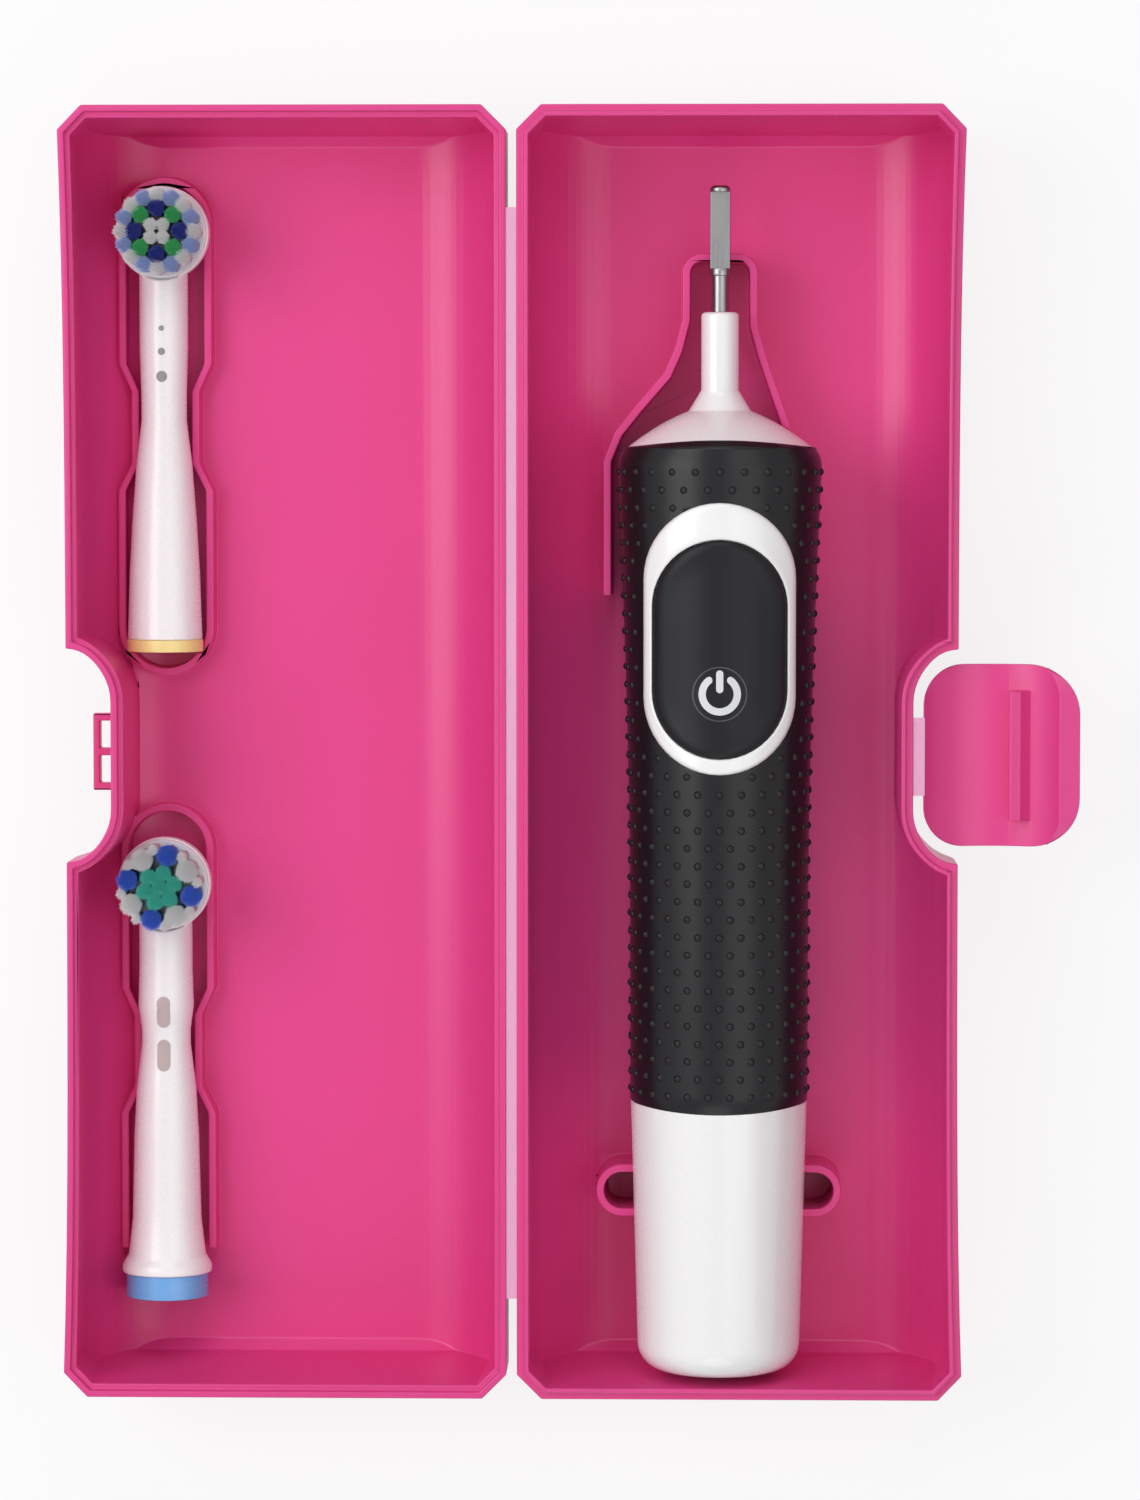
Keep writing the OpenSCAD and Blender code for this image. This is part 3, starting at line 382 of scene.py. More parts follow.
def dress(node, name, body, slot, width, steps=2):
    """A soft-edged copy that stands for the node."""
    piece = soften(as_object(name, joined_copy(node)), width, steps)
    return hand_over(piece, body, slot, [node])


# %% [markdown]
# ## The two halves of the case
# Each half is a long tray, and a long thin-walled tray draws in at the middle as it cools. The
# free edges of the real case bow inwards by about a millimetre. The copy needs points along
# its length before it can bend, so planes cut it every twelve millimetres first. Then each point
# near the free edge moves inwards, most at mid length and not at all at the ends.

# %% Case halves
LID_CENTRE = 2 * frame["joints"][0]["pos_m"][0]
WAIST = 1.1 * MM
WAIST_FROM, WAIST_TO = 28.5 * MM, 36.25 * MM
WAIST_CUTS = 17
EDGE_RADIUS = 0.26 * MM


def drawn_in(work, centre, side, half_length):
    """Bows the free edge inwards: side is the way it faces, seen from the half's centre."""
    sliced(work, Vector((0, 1, 0)),
           [half_length * (2 * i / WAIST_CUTS - 1) for i in range(1, WAIST_CUTS)])
    for vertex in work.verts:
        reach = (vertex.co.x - centre) * side
        t = min(1, max(0, (reach - WAIST_FROM) / (WAIST_TO - WAIST_FROM)))
        bow = 1 - min(1, abs(vertex.co.y) / half_length) ** 4
        vertex.co.x -= side * WAIST * bow * t * t * (3 - 2 * t)
    return work


def case_half(node, name, body, centre, side):
    """One half of the case, bowed and with soft edges."""
    low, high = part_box(node)
    work = drawn_in(joined_copy(node), centre, side, high.y)
    piece = soften(as_object(name, work), EDGE_RADIUS)
    hand_over(piece, body, "case_pink", [node])


case_half("base_shell", "case_base", "base", 0, 1)
case_half("lid_shell", "case_lid", "lid", LID_CENTRE, -1)

# %% [markdown]
# ## The hinge films
# The two halves, and the latch flap, hang on strips of the same plastic thinned to half a
# millimetre. When the case closes, the strip rolls round in a tight U. A rigid strip would
# tear away from one half, so each strip is made with columns of points across it.

# %% Hinge films
FILM_COLUMNS = 10
FILM_OVERLAP = 0.15 * MM


def film(node, name, slot, first, second):
    """A strip with columns across it, in the finish of that slot."""
    low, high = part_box(node)
    low.x -= FILM_OVERLAP
    high.x += FILM_OVERLAP
    work = bmesh.new()
    bmesh.ops.create_cube(work, size=1)
    for vertex in work.verts:
        vertex.co = Vector([low[k] + (vertex.co[k] + 0.5) * (high[k] - low[k]) for k in range(3)])
    sliced(work, Vector((1, 0, 0)),
           [low.x + (high.x - low.x) * i / FILM_COLUMNS for i in range(1, FILM_COLUMNS)])
    piece = as_object(name, work)
    piece.data.materials.append(FINISHES[slot])
    middle = (low + high) / 2
    ends = [Vector((x, middle.y, middle.z)) for x in (low.x + FILM_OVERLAP, high.x - FILM_OVERLAP)]
    if first == "base" and second == "lid":
        ends.reverse()
    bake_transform(piece)
    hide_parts(node)


film("lid_hinge_strip", "lid_film", "film_pink", "base", "lid")
film("latch_hinge_strip", "latch_film", "film_pink", "base", "latch")

# %% [markdown]
# ## The latch flap
# The flap carries the curve of the case's side, so that it lies flush when it is latched. The
# two corners of its free end have a large rounding, through the plate and its turned lip alike.
# The copy is trimmed to that outline with a Boolean modifier before its edges are softened.

# %% Latch flap
FLAP_CORNER = 8.0 * MM
CORNER_STEPS = 12


def rounded_end(low, high, radius):
    """Points round a box seen from above, with its two corners at high X rounded."""
    turns = [radians(90 * i / CORNER_STEPS) for i in range(CORNER_STEPS + 1)]
    x, y = high.x - radius, high.y - radius
    far = [(x + radius * sin(turn), y + radius * cos(turn)) for turn in turns]
    near = [(x + radius * cos(turn), -y - radius * sin(turn)) for turn in turns]
    return [(low.x - radius, high.y)] + far + near + [(low.x - radius, -high.y)]


def prism(name, outline, low_z, high_z):
    """A closed upright block of that outline, for cutting with."""
    work = bmesh.new()
    bottom = [work.verts.new((x, y, low_z)) for x, y in outline]
    top = [work.verts.new((x, y, high_z)) for x, y in outline]
    work.faces.new(top)
    work.faces.new(bottom[::-1])
    for i in range(len(outline)):
        j = (i + 1) % len(outline)
        work.faces.new([bottom[i], bottom[j], top[j], top[i]])
    bmesh.ops.recalc_face_normals(work, faces=work.faces)
    return as_object(name, work)


def cut_with(piece, cutter, operation):
    """Cuts a piece with a block, applies the cut and deletes the block."""
    cut = piece.modifiers.new("cut", "BOOLEAN")
    cut.operation = operation
    cut.solver = "EXACT"
    cut.object = cutter
    applied(piece)
    bpy.data.objects.remove(cutter)


flap_low, flap_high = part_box("latch_flap")
flap = as_object("latch_flap_cover", joined_copy("latch_flap"))
flap_outline = rounded_end(flap_low, flap_high, FLAP_CORNER)
cut_with(flap, prism("flap_outline", flap_outline, 0, 2 * flap_high.z), "INTERSECT")
hand_over(soften(flap, 0.16 * MM), "latch", "case_pink", ["latch_flap"])

# %% [markdown]
# ## The handle
# The white housing keeps the frame's shape and gets soft edges, and so do the bottom cap and
# the steel shaft.

# %% Housing, cap and shaft
housing = dress("main_housing", "handle_body", "handle", "handle_white", width=0.18 * MM)
dress("drive_shaft", "steel_shaft", "shaft", "shaft_steel", width=0.08 * MM)
dress("bottom_cap", "cap_plate", "handle", "handle_white", width=0.15 * MM)

# %% [markdown]
# ## The rubber grip
# The rubber is moulded over the housing. It widens towards the brush end, more across than in
# height, rolls over the shoulder, and its seams curve at the front. All of that is a rule: a
# half width and a half height at each place along the handle. The skin is built from rings of
# points that follow the rule, and the bezel, the button and the bumps use the same rule, so
# they all lie on it. A ray cast at the housing finds how far in the rolled edge has to come.
# Under the handle the widening fades out and the bumps lie deeper, because a rib of the base
# passes there with little room.

# %% The rule of the rubber's skin
GRIP_LOW, GRIP_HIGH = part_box("grip_sleeve")
AXIS = (GRIP_LOW + GRIP_HIGH) / 2
GRIP_LENGTH = GRIP_HIGH.y - GRIP_LOW.y
FOOT_R = 14.5 * MM
TOP_R = (GRIP_HIGH.z - GRIP_LOW.z) / 2
WIDENING = 0.3 * MM
FLARE = 1.95 * MM
FLARE_FROM = 0.35
FLARE_POWER = 1.6
UNDER_FADE = 0.4


def skin(y):
    """Half width and half height of the rubber at a place along the handle."""
    t = min(1, max(0, (y - GRIP_LOW.y) / GRIP_LENGTH))
    flare = FLARE * max(0, (t - FLARE_FROM) / (1 - FLARE_FROM)) ** FLARE_POWER
    return FOOT_R + WIDENING * t + flare, FOOT_R + (TOP_R - FOOT_R) * t


def on_skin(x, y, raised):
    """The point above the skin at that place, seen from the front."""
    half_width, half_height = skin(y)
    across = (x - AXIS.x) / (half_width + raised)
    return Vector((x, y, AXIS.z + (half_height + raised) * sqrt(max(0, 1 - across * across))))


def surface_under(piece):
    """A search tree over a piece's faces, for casting rays at it."""
    return BVHTree.FromPolygons([vertex.co for vertex in piece.data.vertices],
                                [list(face.vertices) for face in piece.data.polygons])


def bridged(name, rings, cap=None, around=False):
    """A mesh of rings joined in order; cap fills the last ring, around joins last to first."""
    work = bmesh.new()
    rows = [[work.verts.new(point) for point in ring] for ring in rings]
    pairs = list(zip(rows, rows[1:])) + ([(rows[-1], rows[0])] if around else [])
    count = len(rings[0])
    for outer, inner in pairs:
        for i in range(count):
            j = (i + 1) % count
            work.faces.new([outer[i], outer[j], inner[j], inner[i]])
    for row, centre in zip((rows[-1], rows[0]), cap or ()):
        middle = work.verts.new(centre)
        for i in range(count):
            work.faces.new([row[i], row[(i + 1) % count], middle])
    bmesh.ops.recalc_face_normals(work, faces=work.faces)
    for face in work.faces:
        face.smooth = True
    return as_object(name, work)


# %% Flat outlines
def arc_points(centre, radius, start, end, steps):
    """Points on an arc, with angles in degrees."""
    return [(centre.x + radius * cos(radians(start + (end - start) * i / steps)),
             centre.y + radius * sin(radians(start + (end - start) * i / steps)))
            for i in range(steps + 1)]


def pill_points(centre, radius, straight, steps=12):
    """Points round a pill shape that stands along the case."""
    shift = Vector((0, straight / 2, 0))
    return (arc_points(centre + shift, radius, 0, 180, steps)
            + arc_points(centre - shift, radius, 180, 360, steps))


def node_oval(node, inset=0.0, share=1.0):
    """The oval outline of a node, drawn in by an inset or scaled to a share."""
    low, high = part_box(node)
    half_width = (high.x - low.x) / 2
    straight = (high.y - low.y) - 2 * half_width
    return pill_points((low + high) / 2, (half_width - inset) * share, straight * share, 24)


def bent(outline, raised):
    """Lays an outline on the handle, at a height above the rubber."""
    return [on_skin(x, y, raised) for x, y in outline]


def between(first, second, share):
    """The outline that lies between two others."""
    return [(a[0] + (b[0] - a[0]) * share, a[1] + (b[1] - a[1]) * share)
            for a, b in zip(first, second)]


# %% Rubber skin
AROUND = 120
SEAM_DIP = 0.9 * MM
SEAM_RISE = 1.1 * MM
SEAM_PAST = 0.4 * MM
FOOT_EDGE = 0.2 * MM
ROW_STEP = 2 * MM
ROLL = 3.0 * MM
ROLL_TURN = radians(80)
ROLL_STEPS = 10
SHOULDER_EDGE = 0.45 * MM
LAP = 0.12 * MM
SKIN_THICKNESS = 1.1 * MM
RAY_START = 0.05
housing_tree = surface_under(housing)


def housing_radius(y, angle):
    """How far from the axis the white housing lies in that direction."""
    out = Vector((cos(angle), 0, sin(angle)))
    start = Vector((AXIS.x, y, AXIS.z)) + out * RAY_START
    hit = housing_tree.ray_cast(start, -out)[0]
    return (hit - Vector((AXIS.x, y, AXIS.z))).length


def skin_ring(y, inset=0.0, dip=0.0):
    """A ring of points round the rubber, which may dip at the front."""
    ring = []
    for i in range(AROUND):
        angle = 2 * pi * i / AROUND
        half_width, half_height = skin(y)
        under = min(1, max(0, -sin(angle) / UNDER_FADE))
        half_width += (half_height - half_width) * under
        ring.append(Vector((AXIS.x + (half_width - inset) * cos(angle),
                            y - dip * max(0, sin(angle)) ** 2,
                            AXIS.z + (half_height - inset) * sin(angle))))
    return ring


def rolled_ring(turn, lap=LAP):
    """A ring of the rolled edge, from the skin at no turn to the shoulder at the full turn."""
    start_y = GRIP_HIGH.y - ROLL
    ring = []
    for i, point in enumerate(skin_ring(start_y)):
        angle = 2 * pi * i / AROUND
        end_y = GRIP_HIGH.y + SEAM_PAST + SEAM_RISE * max(0, sin(angle)) ** 2
        radius = housing_radius(end_y, angle) + lap
        end = Vector((AXIS.x + radius * cos(angle), end_y, AXIS.z + radius * sin(angle)))
        share = (1 - cos(turn)) / (1 - cos(ROLL_TURN))
        made = point.lerp(end, share)
        made.y = start_y + (end_y - start_y) * sin(turn) / sin(ROLL_TURN)
        out = Vector((made.x - AXIS.x, 0, made.z - AXIS.z))
        least = housing_radius(made.y, angle) + lap
        if made.y < GRIP_HIGH.y + SHOULDER_EDGE:
            least = TOP_R + lap * sin(turn)
        if turn < ROLL_TURN and out.length < least:
            made += out.normalized() * (least - out.length)
        ring.append(made)
    return ring


body_rows = int((GRIP_LENGTH - ROLL) / ROW_STEP)
rings = [skin_ring(GRIP_LOW.y, SKIN_THICKNESS, SEAM_DIP),
         skin_ring(GRIP_LOW.y, FOOT_EDGE, SEAM_DIP),
         skin_ring(GRIP_LOW.y + FOOT_EDGE, 0, SEAM_DIP), skin_ring(GRIP_LOW.y + ROW_STEP)]
rings += [skin_ring(GRIP_LOW.y + (GRIP_LENGTH - ROLL) * i / body_rows)
          for i in range(2, body_rows)]
rings += [rolled_ring(ROLL_TURN * i / ROLL_STEPS) for i in range(ROLL_STEPS + 1)]
rings += [rolled_ring(ROLL_TURN, -LAP)]
rubber = bridged("grip_skin", rings, around=True)

# %% Window for the bezel and the button
WINDOW_INSET = 0.9 * MM
window_outline = node_oval("button_bezel", WINDOW_INSET)
cut_with(rubber, prism("window_block", window_outline, AXIS.z, 2 * AXIS.z + TOP_R), "DIFFERENCE")
print("rubber skin:", len(rubber.data.polygons), "faces")

# %% [markdown]
# ## The bumps on the grip
# The rubber is covered in small domes set in rings, each ring turned by half a step. Placing
# eight hundred domes by hand is hopeless, and a bump map would vanish in profile. Geometry Nodes
# do it: points are counted off into rows, each row is wrapped round the skin by the same rule,
# the points under the bezel are deleted, and a small ball sunk in the rubber goes on each one.

# %% Geometry Nodes helpers
SOCKETS = {int: "NodeSocketInt", float: "NodeSocketFloat", tuple: "NodeSocketVector"}


def new_tree(name, values, takes_mesh=False):
    """A Geometry Nodes tree with one named input for each value, and its material."""
    tree = bpy.data.node_groups.new(name, "GeometryNodeTree")
    tree.interface.new_socket("Geometry", in_out="OUTPUT", socket_type="NodeSocketGeometry")
    if takes_mesh:
        tree.interface.new_socket("Geometry", in_out="INPUT", socket_type="NodeSocketGeometry")
    for label, value in values.items():
        tree.interface.new_socket(label, in_out="INPUT", socket_type=SOCKETS[type(value)])
    tree.interface.new_socket("Material", in_out="INPUT", socket_type="NodeSocketMaterial")
    return tree, add(tree, "NodeGroupInput").outputs


def grown(tree, values, material, start=None):
    """Runs a tree with its inputs set by identifier and returns the mesh that it makes."""
    carrier = bpy.data.objects.new("carrier", start or bpy.data.meshes.new("carrier"))
    scene.collection.objects.link(carrier)
    modifier = carrier.modifiers.new("grow", "NODES")
    modifier.node_group = tree
    settings = dict(values, Material=material)
    for item in tree.interface.items_tree:
        if item.in_out == "INPUT" and item.name in settings:
            value = settings[item.name]
            modifier[item.identifier] = list(value) if isinstance(value, tuple) else value
    graph = bpy.context.evaluated_depsgraph_get()
    mesh = bpy.data.meshes.new_from_object(carrier.evaluated_get(graph))
    carrier.modifiers.clear()
    bpy.data.objects.remove(carrier)
    return mesh


def close_tree(tree, geometry, material):
    """Ends a tree: instances made real, smooth, and in their material."""
    real = add(tree, "GeometryNodeRealizeInstances", {0: geometry})
    smooth = add(tree, "GeometryNodeSetShadeSmooth", {0: real.outputs[0]})
    painted = add(tree, "GeometryNodeSetMaterial",
                  {0: smooth.outputs[0], "Material": material})
    add(tree, "NodeGroupOutput", {0: painted.outputs[0]})


# %% Tree that covers the grip in domes
BEZEL_LOW, BEZEL_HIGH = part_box("button_bezel")
ROW_PITCH = 2.88 * MM
FIRST_ROW = 2.0 * MM
MARGIN = 0.9 * MM
DOME_SIZES = (0.96, 1.02)
bezel_half_width = (BEZEL_HIGH.x - BEZEL_LOW.x) / 2
bezel_half_length = (BEZEL_HIGH.y - BEZEL_LOW.y) / 2
DOMES = {
    "Rows": int((GRIP_LENGTH - FIRST_ROW - ROLL) / ROW_PITCH) + 1,
    "Per Ring": 26,
    "Pitch": ROW_PITCH,
    "First Row": FIRST_ROW,
    "Start": GRIP_LOW.y,
    "Grip Length": GRIP_LENGTH,
    "Foot Radius": FOOT_R,
    "Top Radius": TOP_R,
    "Widening": WIDENING,
    "Flare": FLARE,
    "Flare From": FLARE_FROM,
    "Flare Power": FLARE_POWER,
    "Axis X": AXIS.x,
    "Axis Z": AXIS.z,
    "Sink": 0.26 * MM,
    "Under Sink": 0.22 * MM,
    "Under Fade": UNDER_FADE,
    "Dome Radius": 0.68 * MM,
    "Window Y": (BEZEL_LOW.y + BEZEL_HIGH.y) / 2,
    "Window Radius": bezel_half_width + MARGIN,
    "Window Straight": bezel_half_length - bezel_half_width,
    "Seed": 4,
}


def dome_tree():
    """Rows of domes wrapped round the skin, with the bezel's window left free."""
    tree, given = new_tree("grip_domes", DOMES, takes_mesh=True)
    total = calc(tree, "MULTIPLY", given["Rows"], given["Per Ring"])
    points = add(tree, "GeometryNodePoints", {"Count": total})
    index = add(tree, "GeometryNodeInputIndex").outputs[0]
    row = calc(tree, "FLOOR", calc(tree, "DIVIDE", index, given["Per Ring"]))
    column = calc(tree, "MODULO", index, given["Per Ring"])
    shift = calc(tree, "MULTIPLY", calc(tree, "MODULO", row, 2.0), 0.5)
    around = calc(tree, "DIVIDE", calc(tree, "ADD", column, shift), given["Per Ring"])
    angle = calc(tree, "MULTIPLY", around, 2 * pi)

    along = calc(tree, "MULTIPLY_ADD", row, given["Pitch"], given["First Row"])
    t = calc(tree, "DIVIDE", along, given["Grip Length"])
    past = calc(tree, "DIVIDE", calc(tree, "SUBTRACT", t, given["Flare From"]),
                calc(tree, "SUBTRACT", 1.0, given["Flare From"]))
    flare = calc(tree, "MULTIPLY", given["Flare"],
                 calc(tree, "POWER", calc(tree, "MAXIMUM", past, 0.0), given["Flare Power"]))
    down = calc(tree, "MULTIPLY", calc(tree, "SINE", angle), -1.0)
    faded = calc(tree, "DIVIDE", down, given["Under Fade"])
    under = calc(tree, "MINIMUM", calc(tree, "MAXIMUM", faded, 0.0), 1.0)
    sink = calc(tree, "MULTIPLY_ADD", under, given["Under Sink"], given["Sink"])
    foot = calc(tree, "SUBTRACT", given["Foot Radius"], sink)
    growth = calc(tree, "SUBTRACT", given["Top Radius"], given["Foot Radius"])
    high = calc(tree, "MULTIPLY_ADD", t, growth, foot)
    flared = calc(tree, "ADD", calc(tree, "MULTIPLY_ADD", t, given["Widening"], foot), flare)
    wide = calc(tree, "MULTIPLY_ADD", calc(tree, "SUBTRACT", high, flared), under, flared)

    x = calc(tree, "MULTIPLY", wide, calc(tree, "COSINE", angle))
    z = calc(tree, "MULTIPLY", high, calc(tree, "SINE", angle))
    y = calc(tree, "ADD", along, given["Start"])
    place = add(tree, "ShaderNodeCombineXYZ", {0: calc(tree, "ADD", x, given["Axis X"]), 1: y,
                                               2: calc(tree, "ADD", z, given["Axis Z"])})
    moved = add(tree, "GeometryNodeSetPosition",
                {"Geometry": points.outputs[0], "Position": place.outputs[0]})

    off = calc(tree, "ABSOLUTE", calc(tree, "SUBTRACT", y, given["Window Y"]))
    over = calc(tree, "MAXIMUM", calc(tree, "SUBTRACT", off, given["Window Straight"]), 0.0)
    reach = calc(tree, "SQRT", calc(tree, "ADD", calc(tree, "MULTIPLY", x, x),
                                    calc(tree, "MULTIPLY", over, over)))
    inside = calc(tree, "MULTIPLY", calc(tree, "LESS_THAN", reach, given["Window Radius"]),
                  calc(tree, "GREATER_THAN", z, 0.0))
    left = add(tree, "GeometryNodeDeleteGeometry",
               {"Geometry": moved.outputs[0], "Selection": inside}, domain="POINT")
    ball = add(tree, "GeometryNodeMeshIcoSphere",
               {"Radius": given["Dome Radius"], "Subdivisions": 3})
    size = add(tree, "FunctionNodeRandomValue",
               {2: DOME_SIZES[0], 3: DOME_SIZES[1], "Seed": given["Seed"]}, data_type="FLOAT")
    domes = add(tree, "GeometryNodeInstanceOnPoints",
                {"Points": left.outputs[0], "Instance": ball.outputs[0], "Scale": size.outputs[1]})
    both = add(tree, "GeometryNodeJoinGeometry", {0: given["Geometry"]})
    tree.links.new(domes.outputs[0], both.inputs[0])
    close_tree(tree, both.outputs[0], given["Material"])
    return tree


# %% Grow the bumps on the skin
grip = bpy.data.objects.new("rubber_grip",
                            grown(dome_tree(), DOMES, FINISHES["grip_rubber"], rubber.data))
bpy.data.objects.remove(rubber)
scene.collection.objects.link(grip)
hand_over(grip, "handle", "grip_rubber", ["grip_sleeve"])

# %% [markdown]
# ## Bezel and button
# Both are long ovals with straight sides and round ends, bent over the round handle. Each is
# drawn flat as rings of points, from its outer edge inwards, and every ring says how high above
# the skin it lies. That gives the bezel its rolled edges, and the button its soft rim round a
# slightly dished middle, which a finger finds in the dark. The button's underside follows the
# curve too, so that it stays clear of the housing when it is pressed.

# %% Bezel
BUTTON_GAP = 0.15 * MM
BEZEL_FOOT, BEZEL_TOP = -0.9 * MM, 0.5 * MM
hole = {grow: node_oval("power_button", -BUTTON_GAP - grow * MM) for grow in (0, 0.12, 0.4)}
edge = {inset: node_oval("button_bezel", inset * MM) for inset in (0, 0.15, 0.45)}
bezel_rings = [bent(edge[0], BEZEL_FOOT), bent(edge[0], 0.08 * MM), bent(edge[0.15], 0.36 * MM)]
bezel_rings += [bent(between(edge[0.45], hole[0.4], i / 5), BEZEL_TOP) for i in range(6)]
bezel_rings += [bent(hole[0.12], 0.42 * MM), bent(hole[0], 0.2 * MM), bent(hole[0], BEZEL_FOOT)]
bezel = bridged("button_surround", bezel_rings, around=True)
hand_over(bezel, "handle", "handle_white", ["button_bezel"])

# %% Button
RIM = [(0, -0.3), (0, 0.16), (0.15, 0.42), (0.5, 0.6), (1.1, 0.68), (1.9, 0.6), (2.7, 0.48)]
DISH = 0.44 * MM
UNDERSIDE = RIM[0][1] * MM
INNER_RINGS = 8
button_y = sum(corner.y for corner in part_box("power_button")) / 2
button_rings = [bent(node_oval("power_button", share=i / INNER_RINGS), UNDERSIDE)
                for i in range(1, INNER_RINGS)]
button_rings += [bent(node_oval("power_button", inset * MM), raised * MM) for inset, raised in RIM]
button_rings += [bent(node_oval("power_button", RIM[-1][0] * MM, i / INNER_RINGS), DISH)
                 for i in range(INNER_RINGS - 1, 0, -1)]
button = bridged("button_cap", button_rings, cap=(on_skin(AXIS.x, button_y, DISH),
                                                  on_skin(AXIS.x, button_y, UNDERSIDE)))
hand_over(button, "button", "button_black", ["power_button"])

# %% [markdown]
# ## Marks laid on curved parts
# The power symbol on the button and the small marks on the two sleeves are printed or moulded
# skins about a tenth of a millimetre thick. Each is drawn flat as rings of points, then
# dropped onto the part under it by casting a ray straight down from every point, and given a
# thickness, so that it is a closed solid and follows the curve.

# %% Laying a mark on a part
MARK_LIFT = 0.08 * MM
MARK_DEPTH = 0.12 * MM
DROP_FROM = 0.5


def laid(name, rings, closed, target, centre=None):
    """Drops rings of flat points onto a part; a centre point fills the inmost ring."""
    tree = surface_under(target)
    work = bmesh.new()

    def dropped(point):
        hit = tree.ray_cast(Vector((point[0], point[1], DROP_FROM)), Vector((0, 0, -1)))[0]
        return work.verts.new(hit + Vector((0, 0, MARK_LIFT)))

    rows = [[dropped(point) for point in ring] for ring in rings]
    count = len(rings[0])
    for outer, inner in zip(rows, rows[1:]):
        for i in range(count if closed else count - 1):
            j = (i + 1) % count
            work.faces.new([outer[i], outer[j], inner[j], inner[i]])
    if centre:
        middle = dropped(centre)
        for i in range(count):
            work.faces.new([rows[-1][i], rows[-1][(i + 1) % count], middle])
    bmesh.ops.recalc_face_normals(work, faces=work.faces)
    if sum(face.normal.z for face in work.faces) < 0:
        bmesh.ops.reverse_faces(work, faces=work.faces)
    bmesh.ops.solidify(work, geom=work.faces[:], thickness=MARK_DEPTH)
    bmesh.ops.recalc_face_normals(work, faces=work.faces)
    return as_object(name, work)


# %% Power symbol
SYMBOL_R, SYMBOL_HALF = 2.82 * MM, 0.58 * MM
SYMBOL_OPEN = 38
SYMBOL_ARCS = 8
HALO_RADII = (4.42 * MM, 4.22 * MM)
SWITCH_LOW, SWITCH_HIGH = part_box("button_switch")
symbol_at = Vector(((SWITCH_LOW.x + SWITCH_HIGH.x) / 2, (SWITCH_LOW.y + SWITCH_HIGH.y) / 2, 0))


def round_ended_arc():
    """Arcs side by side that make a broken ring with round ends."""
    arcs = []
    for k in range(SYMBOL_ARCS + 1):
        off = cos(pi * k / SYMBOL_ARCS)
        cap = SYMBOL_HALF * sqrt(1 - off * off) / SYMBOL_R * 180 / pi
        arcs.append(arc_points(symbol_at, SYMBOL_R + SYMBOL_HALF * off,
                               90 + SYMBOL_OPEN - cap, 450 - SYMBOL_OPEN + cap, 48))
    return arcs


hand_over(laid("power_symbol_ring", round_ended_arc(), False, button), "button", "button_black",
          material="symbol_grey")
BAR_LOW, BAR_HIGH = 0.2 * MM, 3.85 * MM
bar_at = symbol_at + Vector((0, (BAR_LOW + BAR_HIGH) / 2, 0))
bar = [pill_points(bar_at, SYMBOL_HALF * share, (BAR_HIGH - BAR_LOW - 2 * SYMBOL_HALF) * share)
       for share in (1.0, 0.7, 0.4)]
hand_over(laid("power_symbol_bar", bar, True, button, bar_at), "button", "button_black",
          material="symbol_grey")
halo = [arc_points(symbol_at, radius, 0, 352.5, 47) for radius in HALO_RADII]
hand_over(laid("power_symbol_halo", halo, True, button), "button", "button_black",
          material="symbol_ring")

# %% [markdown]
# ## The brush heads
# Each head is a slim white sleeve with a coloured ring at its foot, so that a family can tell
# their heads apart. The sleeve, ring and disc keep the frame's shape with soft edges, and the
# marks on the sleeves are dropped onto them.

# %% Sleeves, rings and discs
RING_SLOTS = {"upper": "ring_yellow", "lower": "ring_blue"}
sleeves = {}
for head, ring_slot in RING_SLOTS.items():
    body = head + "_head"
    sleeves[head] = dress(head + "_head_sleeve", head + "_sleeve", body, "head_white",
                          width=0.3 * MM, steps=3)
    dress(head + "_head_ring", head + "_foot_ring", body, ring_slot, width=0.18 * MM)
    dress(head + "_head_disc", head + "_disc_plate", head + "_disc", "disc_plastic",
          width=0.15 * MM)

# %% Marks on the sleeves
DOTS = [(53.2, 0.45), (49.4, 0.60), (45.3, 0.90)]
PILLS = [47.7, 40.5]
PILL_RADIUS, PILL_STRAIGHT = 1.1 * MM, 3.0 * MM
SHARES = (1.0, 0.8, 0.6, 0.4, 0.2)


def foot_of(head):
    """The middle of a head's bottom end."""
    low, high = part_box(head + "_head_ring")
    return Vector(((low.x + high.x) / 2, low.y, 0))


for number, (height, radius) in enumerate(DOTS, 1):
    spot = foot_of("upper") + mm(0, height, 0)
    rings = [arc_points(spot, radius * MM * share, 0, 345, 23) for share in SHARES]
    hand_over(laid(f"upper_dot_{number}", rings, True, sleeves["upper"], spot), "upper_head",
              "head_white", material="mark_grey")
for number, height in enumerate(PILLS, 1):
    spot = foot_of("lower") + mm(0, height, 0)
    rings = [pill_points(spot, PILL_RADIUS * share, PILL_STRAIGHT * share) for share in SHARES]
    hand_over(laid(f"lower_pill_{number}", rings, True, sleeves["lower"], spot), "lower_head",
              "head_white", material="mark_pale")

# %% [markdown]
# ## The bristles
# A tuft is a few dozen nylon strands pressed into one hole. Their tips spread a little and are
# not all of one length. Geometry Nodes grow them: points are counted off into tufts, each tuft
# stands on a ring, and inside it the strands follow the sunflower pattern, which fills a round
# hole evenly. A strand is a six-sided rod with a narrowed tip, so that thousands stay light.

# %% Tree that grows a ring of tufts
GOLDEN = pi * (3 - sqrt(5))
TIP_SHARE = 0.8
TUFTS = {"Tufts": 8, "Strands": 40, "Ring Radius": 3.75 * MM, "Start": 0.0,
         "Tuft Radius": 1.0 * MM, "Length": 7.5 * MM, "Strand Radius": 0.105 * MM,
         "Centre": (0.0, 0.0, 0.0), "Splay": 45.0, "Uneven": 0.02, "Seed": 1}


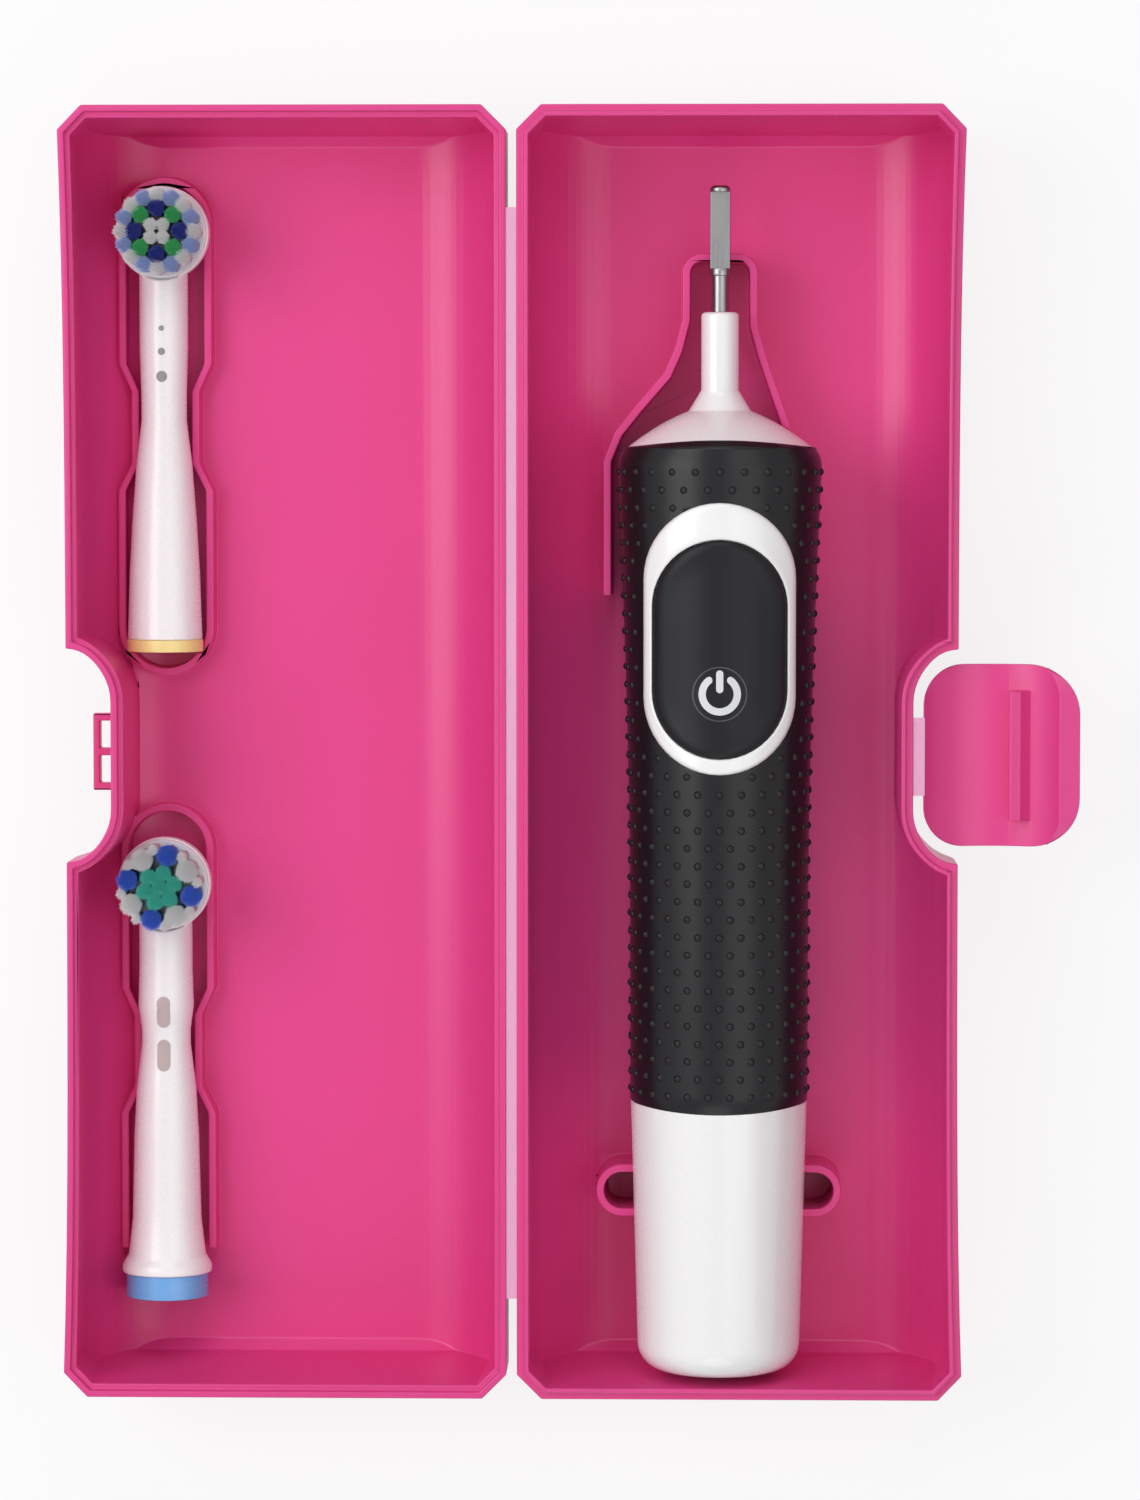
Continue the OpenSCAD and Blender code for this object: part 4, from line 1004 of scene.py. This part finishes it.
def tuft_tree():
    """Tufts on a ring, each a round bundle of strands that spread a little at the tips."""
    tree, given = new_tree("bristle_tufts", TUFTS)
    total = calc(tree, "MULTIPLY", given["Tufts"], given["Strands"])
    points = add(tree, "GeometryNodePoints", {"Count": total})
    index = add(tree, "GeometryNodeInputIndex").outputs[0]
    tuft = calc(tree, "FLOOR", calc(tree, "DIVIDE", index, given["Strands"]))
    strand = calc(tree, "MODULO", index, given["Strands"])
    step = calc(tree, "DIVIDE", 2 * pi, given["Tufts"])
    angle = calc(tree, "MULTIPLY_ADD", tuft, step, given["Start"])
    filled = calc(tree, "DIVIDE", calc(tree, "ADD", strand, 0.5), given["Strands"])
    off = calc(tree, "MULTIPLY", given["Tuft Radius"], calc(tree, "SQRT", filled))
    spiral = calc(tree, "MULTIPLY", strand, GOLDEN)
    dx = calc(tree, "MULTIPLY", off, calc(tree, "COSINE", spiral))
    dy = calc(tree, "MULTIPLY", off, calc(tree, "SINE", spiral))
    x = calc(tree, "MULTIPLY_ADD", given["Ring Radius"], calc(tree, "COSINE", angle), dx)
    y = calc(tree, "MULTIPLY_ADD", given["Ring Radius"], calc(tree, "SINE", angle), dy)
    flat = add(tree, "ShaderNodeCombineXYZ", {0: x, 1: y})
    place = add(tree, "ShaderNodeVectorMath", {0: flat.outputs[0], 1: given["Centre"]},
                operation="ADD")
    moved = add(tree, "GeometryNodeSetPosition",
                {"Geometry": points.outputs[0], "Position": place.outputs[0]})
    rod = add(tree, "GeometryNodeMeshCone",
              {"Vertices": 6, "Radius Bottom": given["Strand Radius"],
               "Radius Top": calc(tree, "MULTIPLY", given["Strand Radius"], TIP_SHARE),
               "Depth": given["Length"]})
    tilt_x = calc(tree, "MULTIPLY", calc(tree, "MULTIPLY", dy, given["Splay"]), -1.0)
    tilt_y = calc(tree, "MULTIPLY", dx, given["Splay"])
    tilt = add(tree, "ShaderNodeCombineXYZ", {0: tilt_x, 1: tilt_y})
    low = calc(tree, "SUBTRACT", 1.0, given["Uneven"])
    size = add(tree, "FunctionNodeRandomValue", {2: low, 3: 1.0, "Seed": given["Seed"]},
               data_type="FLOAT")
    stretch = add(tree, "ShaderNodeCombineXYZ", {0: 1.0, 1: 1.0, 2: size.outputs[1]})
    rods = add(tree, "GeometryNodeInstanceOnPoints",
               {"Points": moved.outputs[0], "Instance": rod.outputs[0],
                "Rotation": tilt.outputs[0], "Scale": stretch.outputs[0]})
    close_tree(tree, rods.outputs[0], given["Material"])
    return tree


# %% Growing the tufts of both heads
STRAND_TINTS = {
    "pale_blue": (0.44, 0.57, 0.95), "white": (0.96, 0.96, 0.97), "green": (0.07, 0.58, 0.19),
    "navy": (0.030, 0.052, 0.38), "royal_blue": (0.07, 0.19, 0.82), "teal": (0.09, 0.68, 0.55),
}
# For each node: the piece, its tint, and rings of (tufts, ring radius, start angle, tuft radius)
BRISTLES = {
    "upper_outer_bristles": [("upper_rim_tufts", "pale_blue", [(8, 5.85, 22.5, 1.05)]),
                             ("upper_rim_white_tufts", "white", [(8, 5.95, 0, 1.0)])],
    "upper_middle_bristles": [("upper_green_tufts", "green", [(4, 3.75, 45, 1.05)]),
                              ("upper_navy_tufts", "navy", [(4, 3.75, 0, 1.05)])],
    "upper_centre_bristles": [("upper_centre_tufts", "white", [(4, 1.45, 45, 0.85)])],
    "lower_outer_bristles": [("lower_rim_tufts", "royal_blue", [(4, 5.45, -14, 1.35)])],
    "lower_middle_bristles": [("lower_white_tufts", "white",
                               [(4, 5.35, 31, 1.40), (8, 6.3, 8.5, 0.65)])],
    "lower_centre_bristles": [("lower_teal_tufts", "teal", [(6, 2.5, 14, 1.0), (1, 0, 0, 1.0)])],
}
STRANDS_PER_AREA = 56
EXTRA_STRANDS = 6
ROOT_DEPTH = 0.1 * MM
tufts = tuft_tree()
seed = 10
for node, pieces in BRISTLES.items():
    head = node.split("_")[0]
    disc_low, disc_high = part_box(head + "_head_disc")
    tip_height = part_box(node)[1].z
    root = Vector(((disc_low.x + disc_high.x) / 2, (disc_low.y + disc_high.y) / 2,
                   disc_high.z - ROOT_DEPTH))
    for name, tint, rings in pieces:
        material = FINISHES.get(head + tint) or bristle_finish_with_painted_shade(
            head + "_" + tint, STRAND_TINTS[tint], root.z, tip_height)
        FINISHES[head + tint] = material
        work = bmesh.new()
        for count, ring_radius, start, radius in rings:
            seed += 1
            strands = int(STRANDS_PER_AREA * radius ** 2) + EXTRA_STRANDS
            values = dict(TUFTS, **{
                "Tufts": count, "Ring Radius": ring_radius * MM, "Start": radians(start),
                "Tuft Radius": radius * MM, "Strands": strands,
                "Length": tip_height - root.z, "Centre": tuple(root), "Seed": seed})
            work.from_mesh(grown(tufts, values, material))
        piece = as_object(name, work)
        slot = next(part["material_slot"] for part in frame["record"]["subparts"]
                    if part["node"] == node)
        hand_over(piece, head + "_disc", slot, [node] if name == pieces[0][0] else (),
                  material=head + tint)

# %% [markdown]
# ## What sits inside the handle
# The battery, motor, gears and board are closed in, but they are there when the handle is
# taken apart. Their shapes come from the frame as they are, so they only need their finish.

# %% Finishes of the inner parts
slot_of = {part["node"]: part["material_slot"] for part in frame["record"]["subparts"]}
painted = 0
for node, part in frame["nodes"].items():
    if part.hide_render:
        continue
    if not part.material_slots:
        part.data.materials.append(None)
    for place in part.material_slots:
        place.material = FINISHES[slot_of[node]]
    painted += 1
print("inner parts given a finish:", painted)
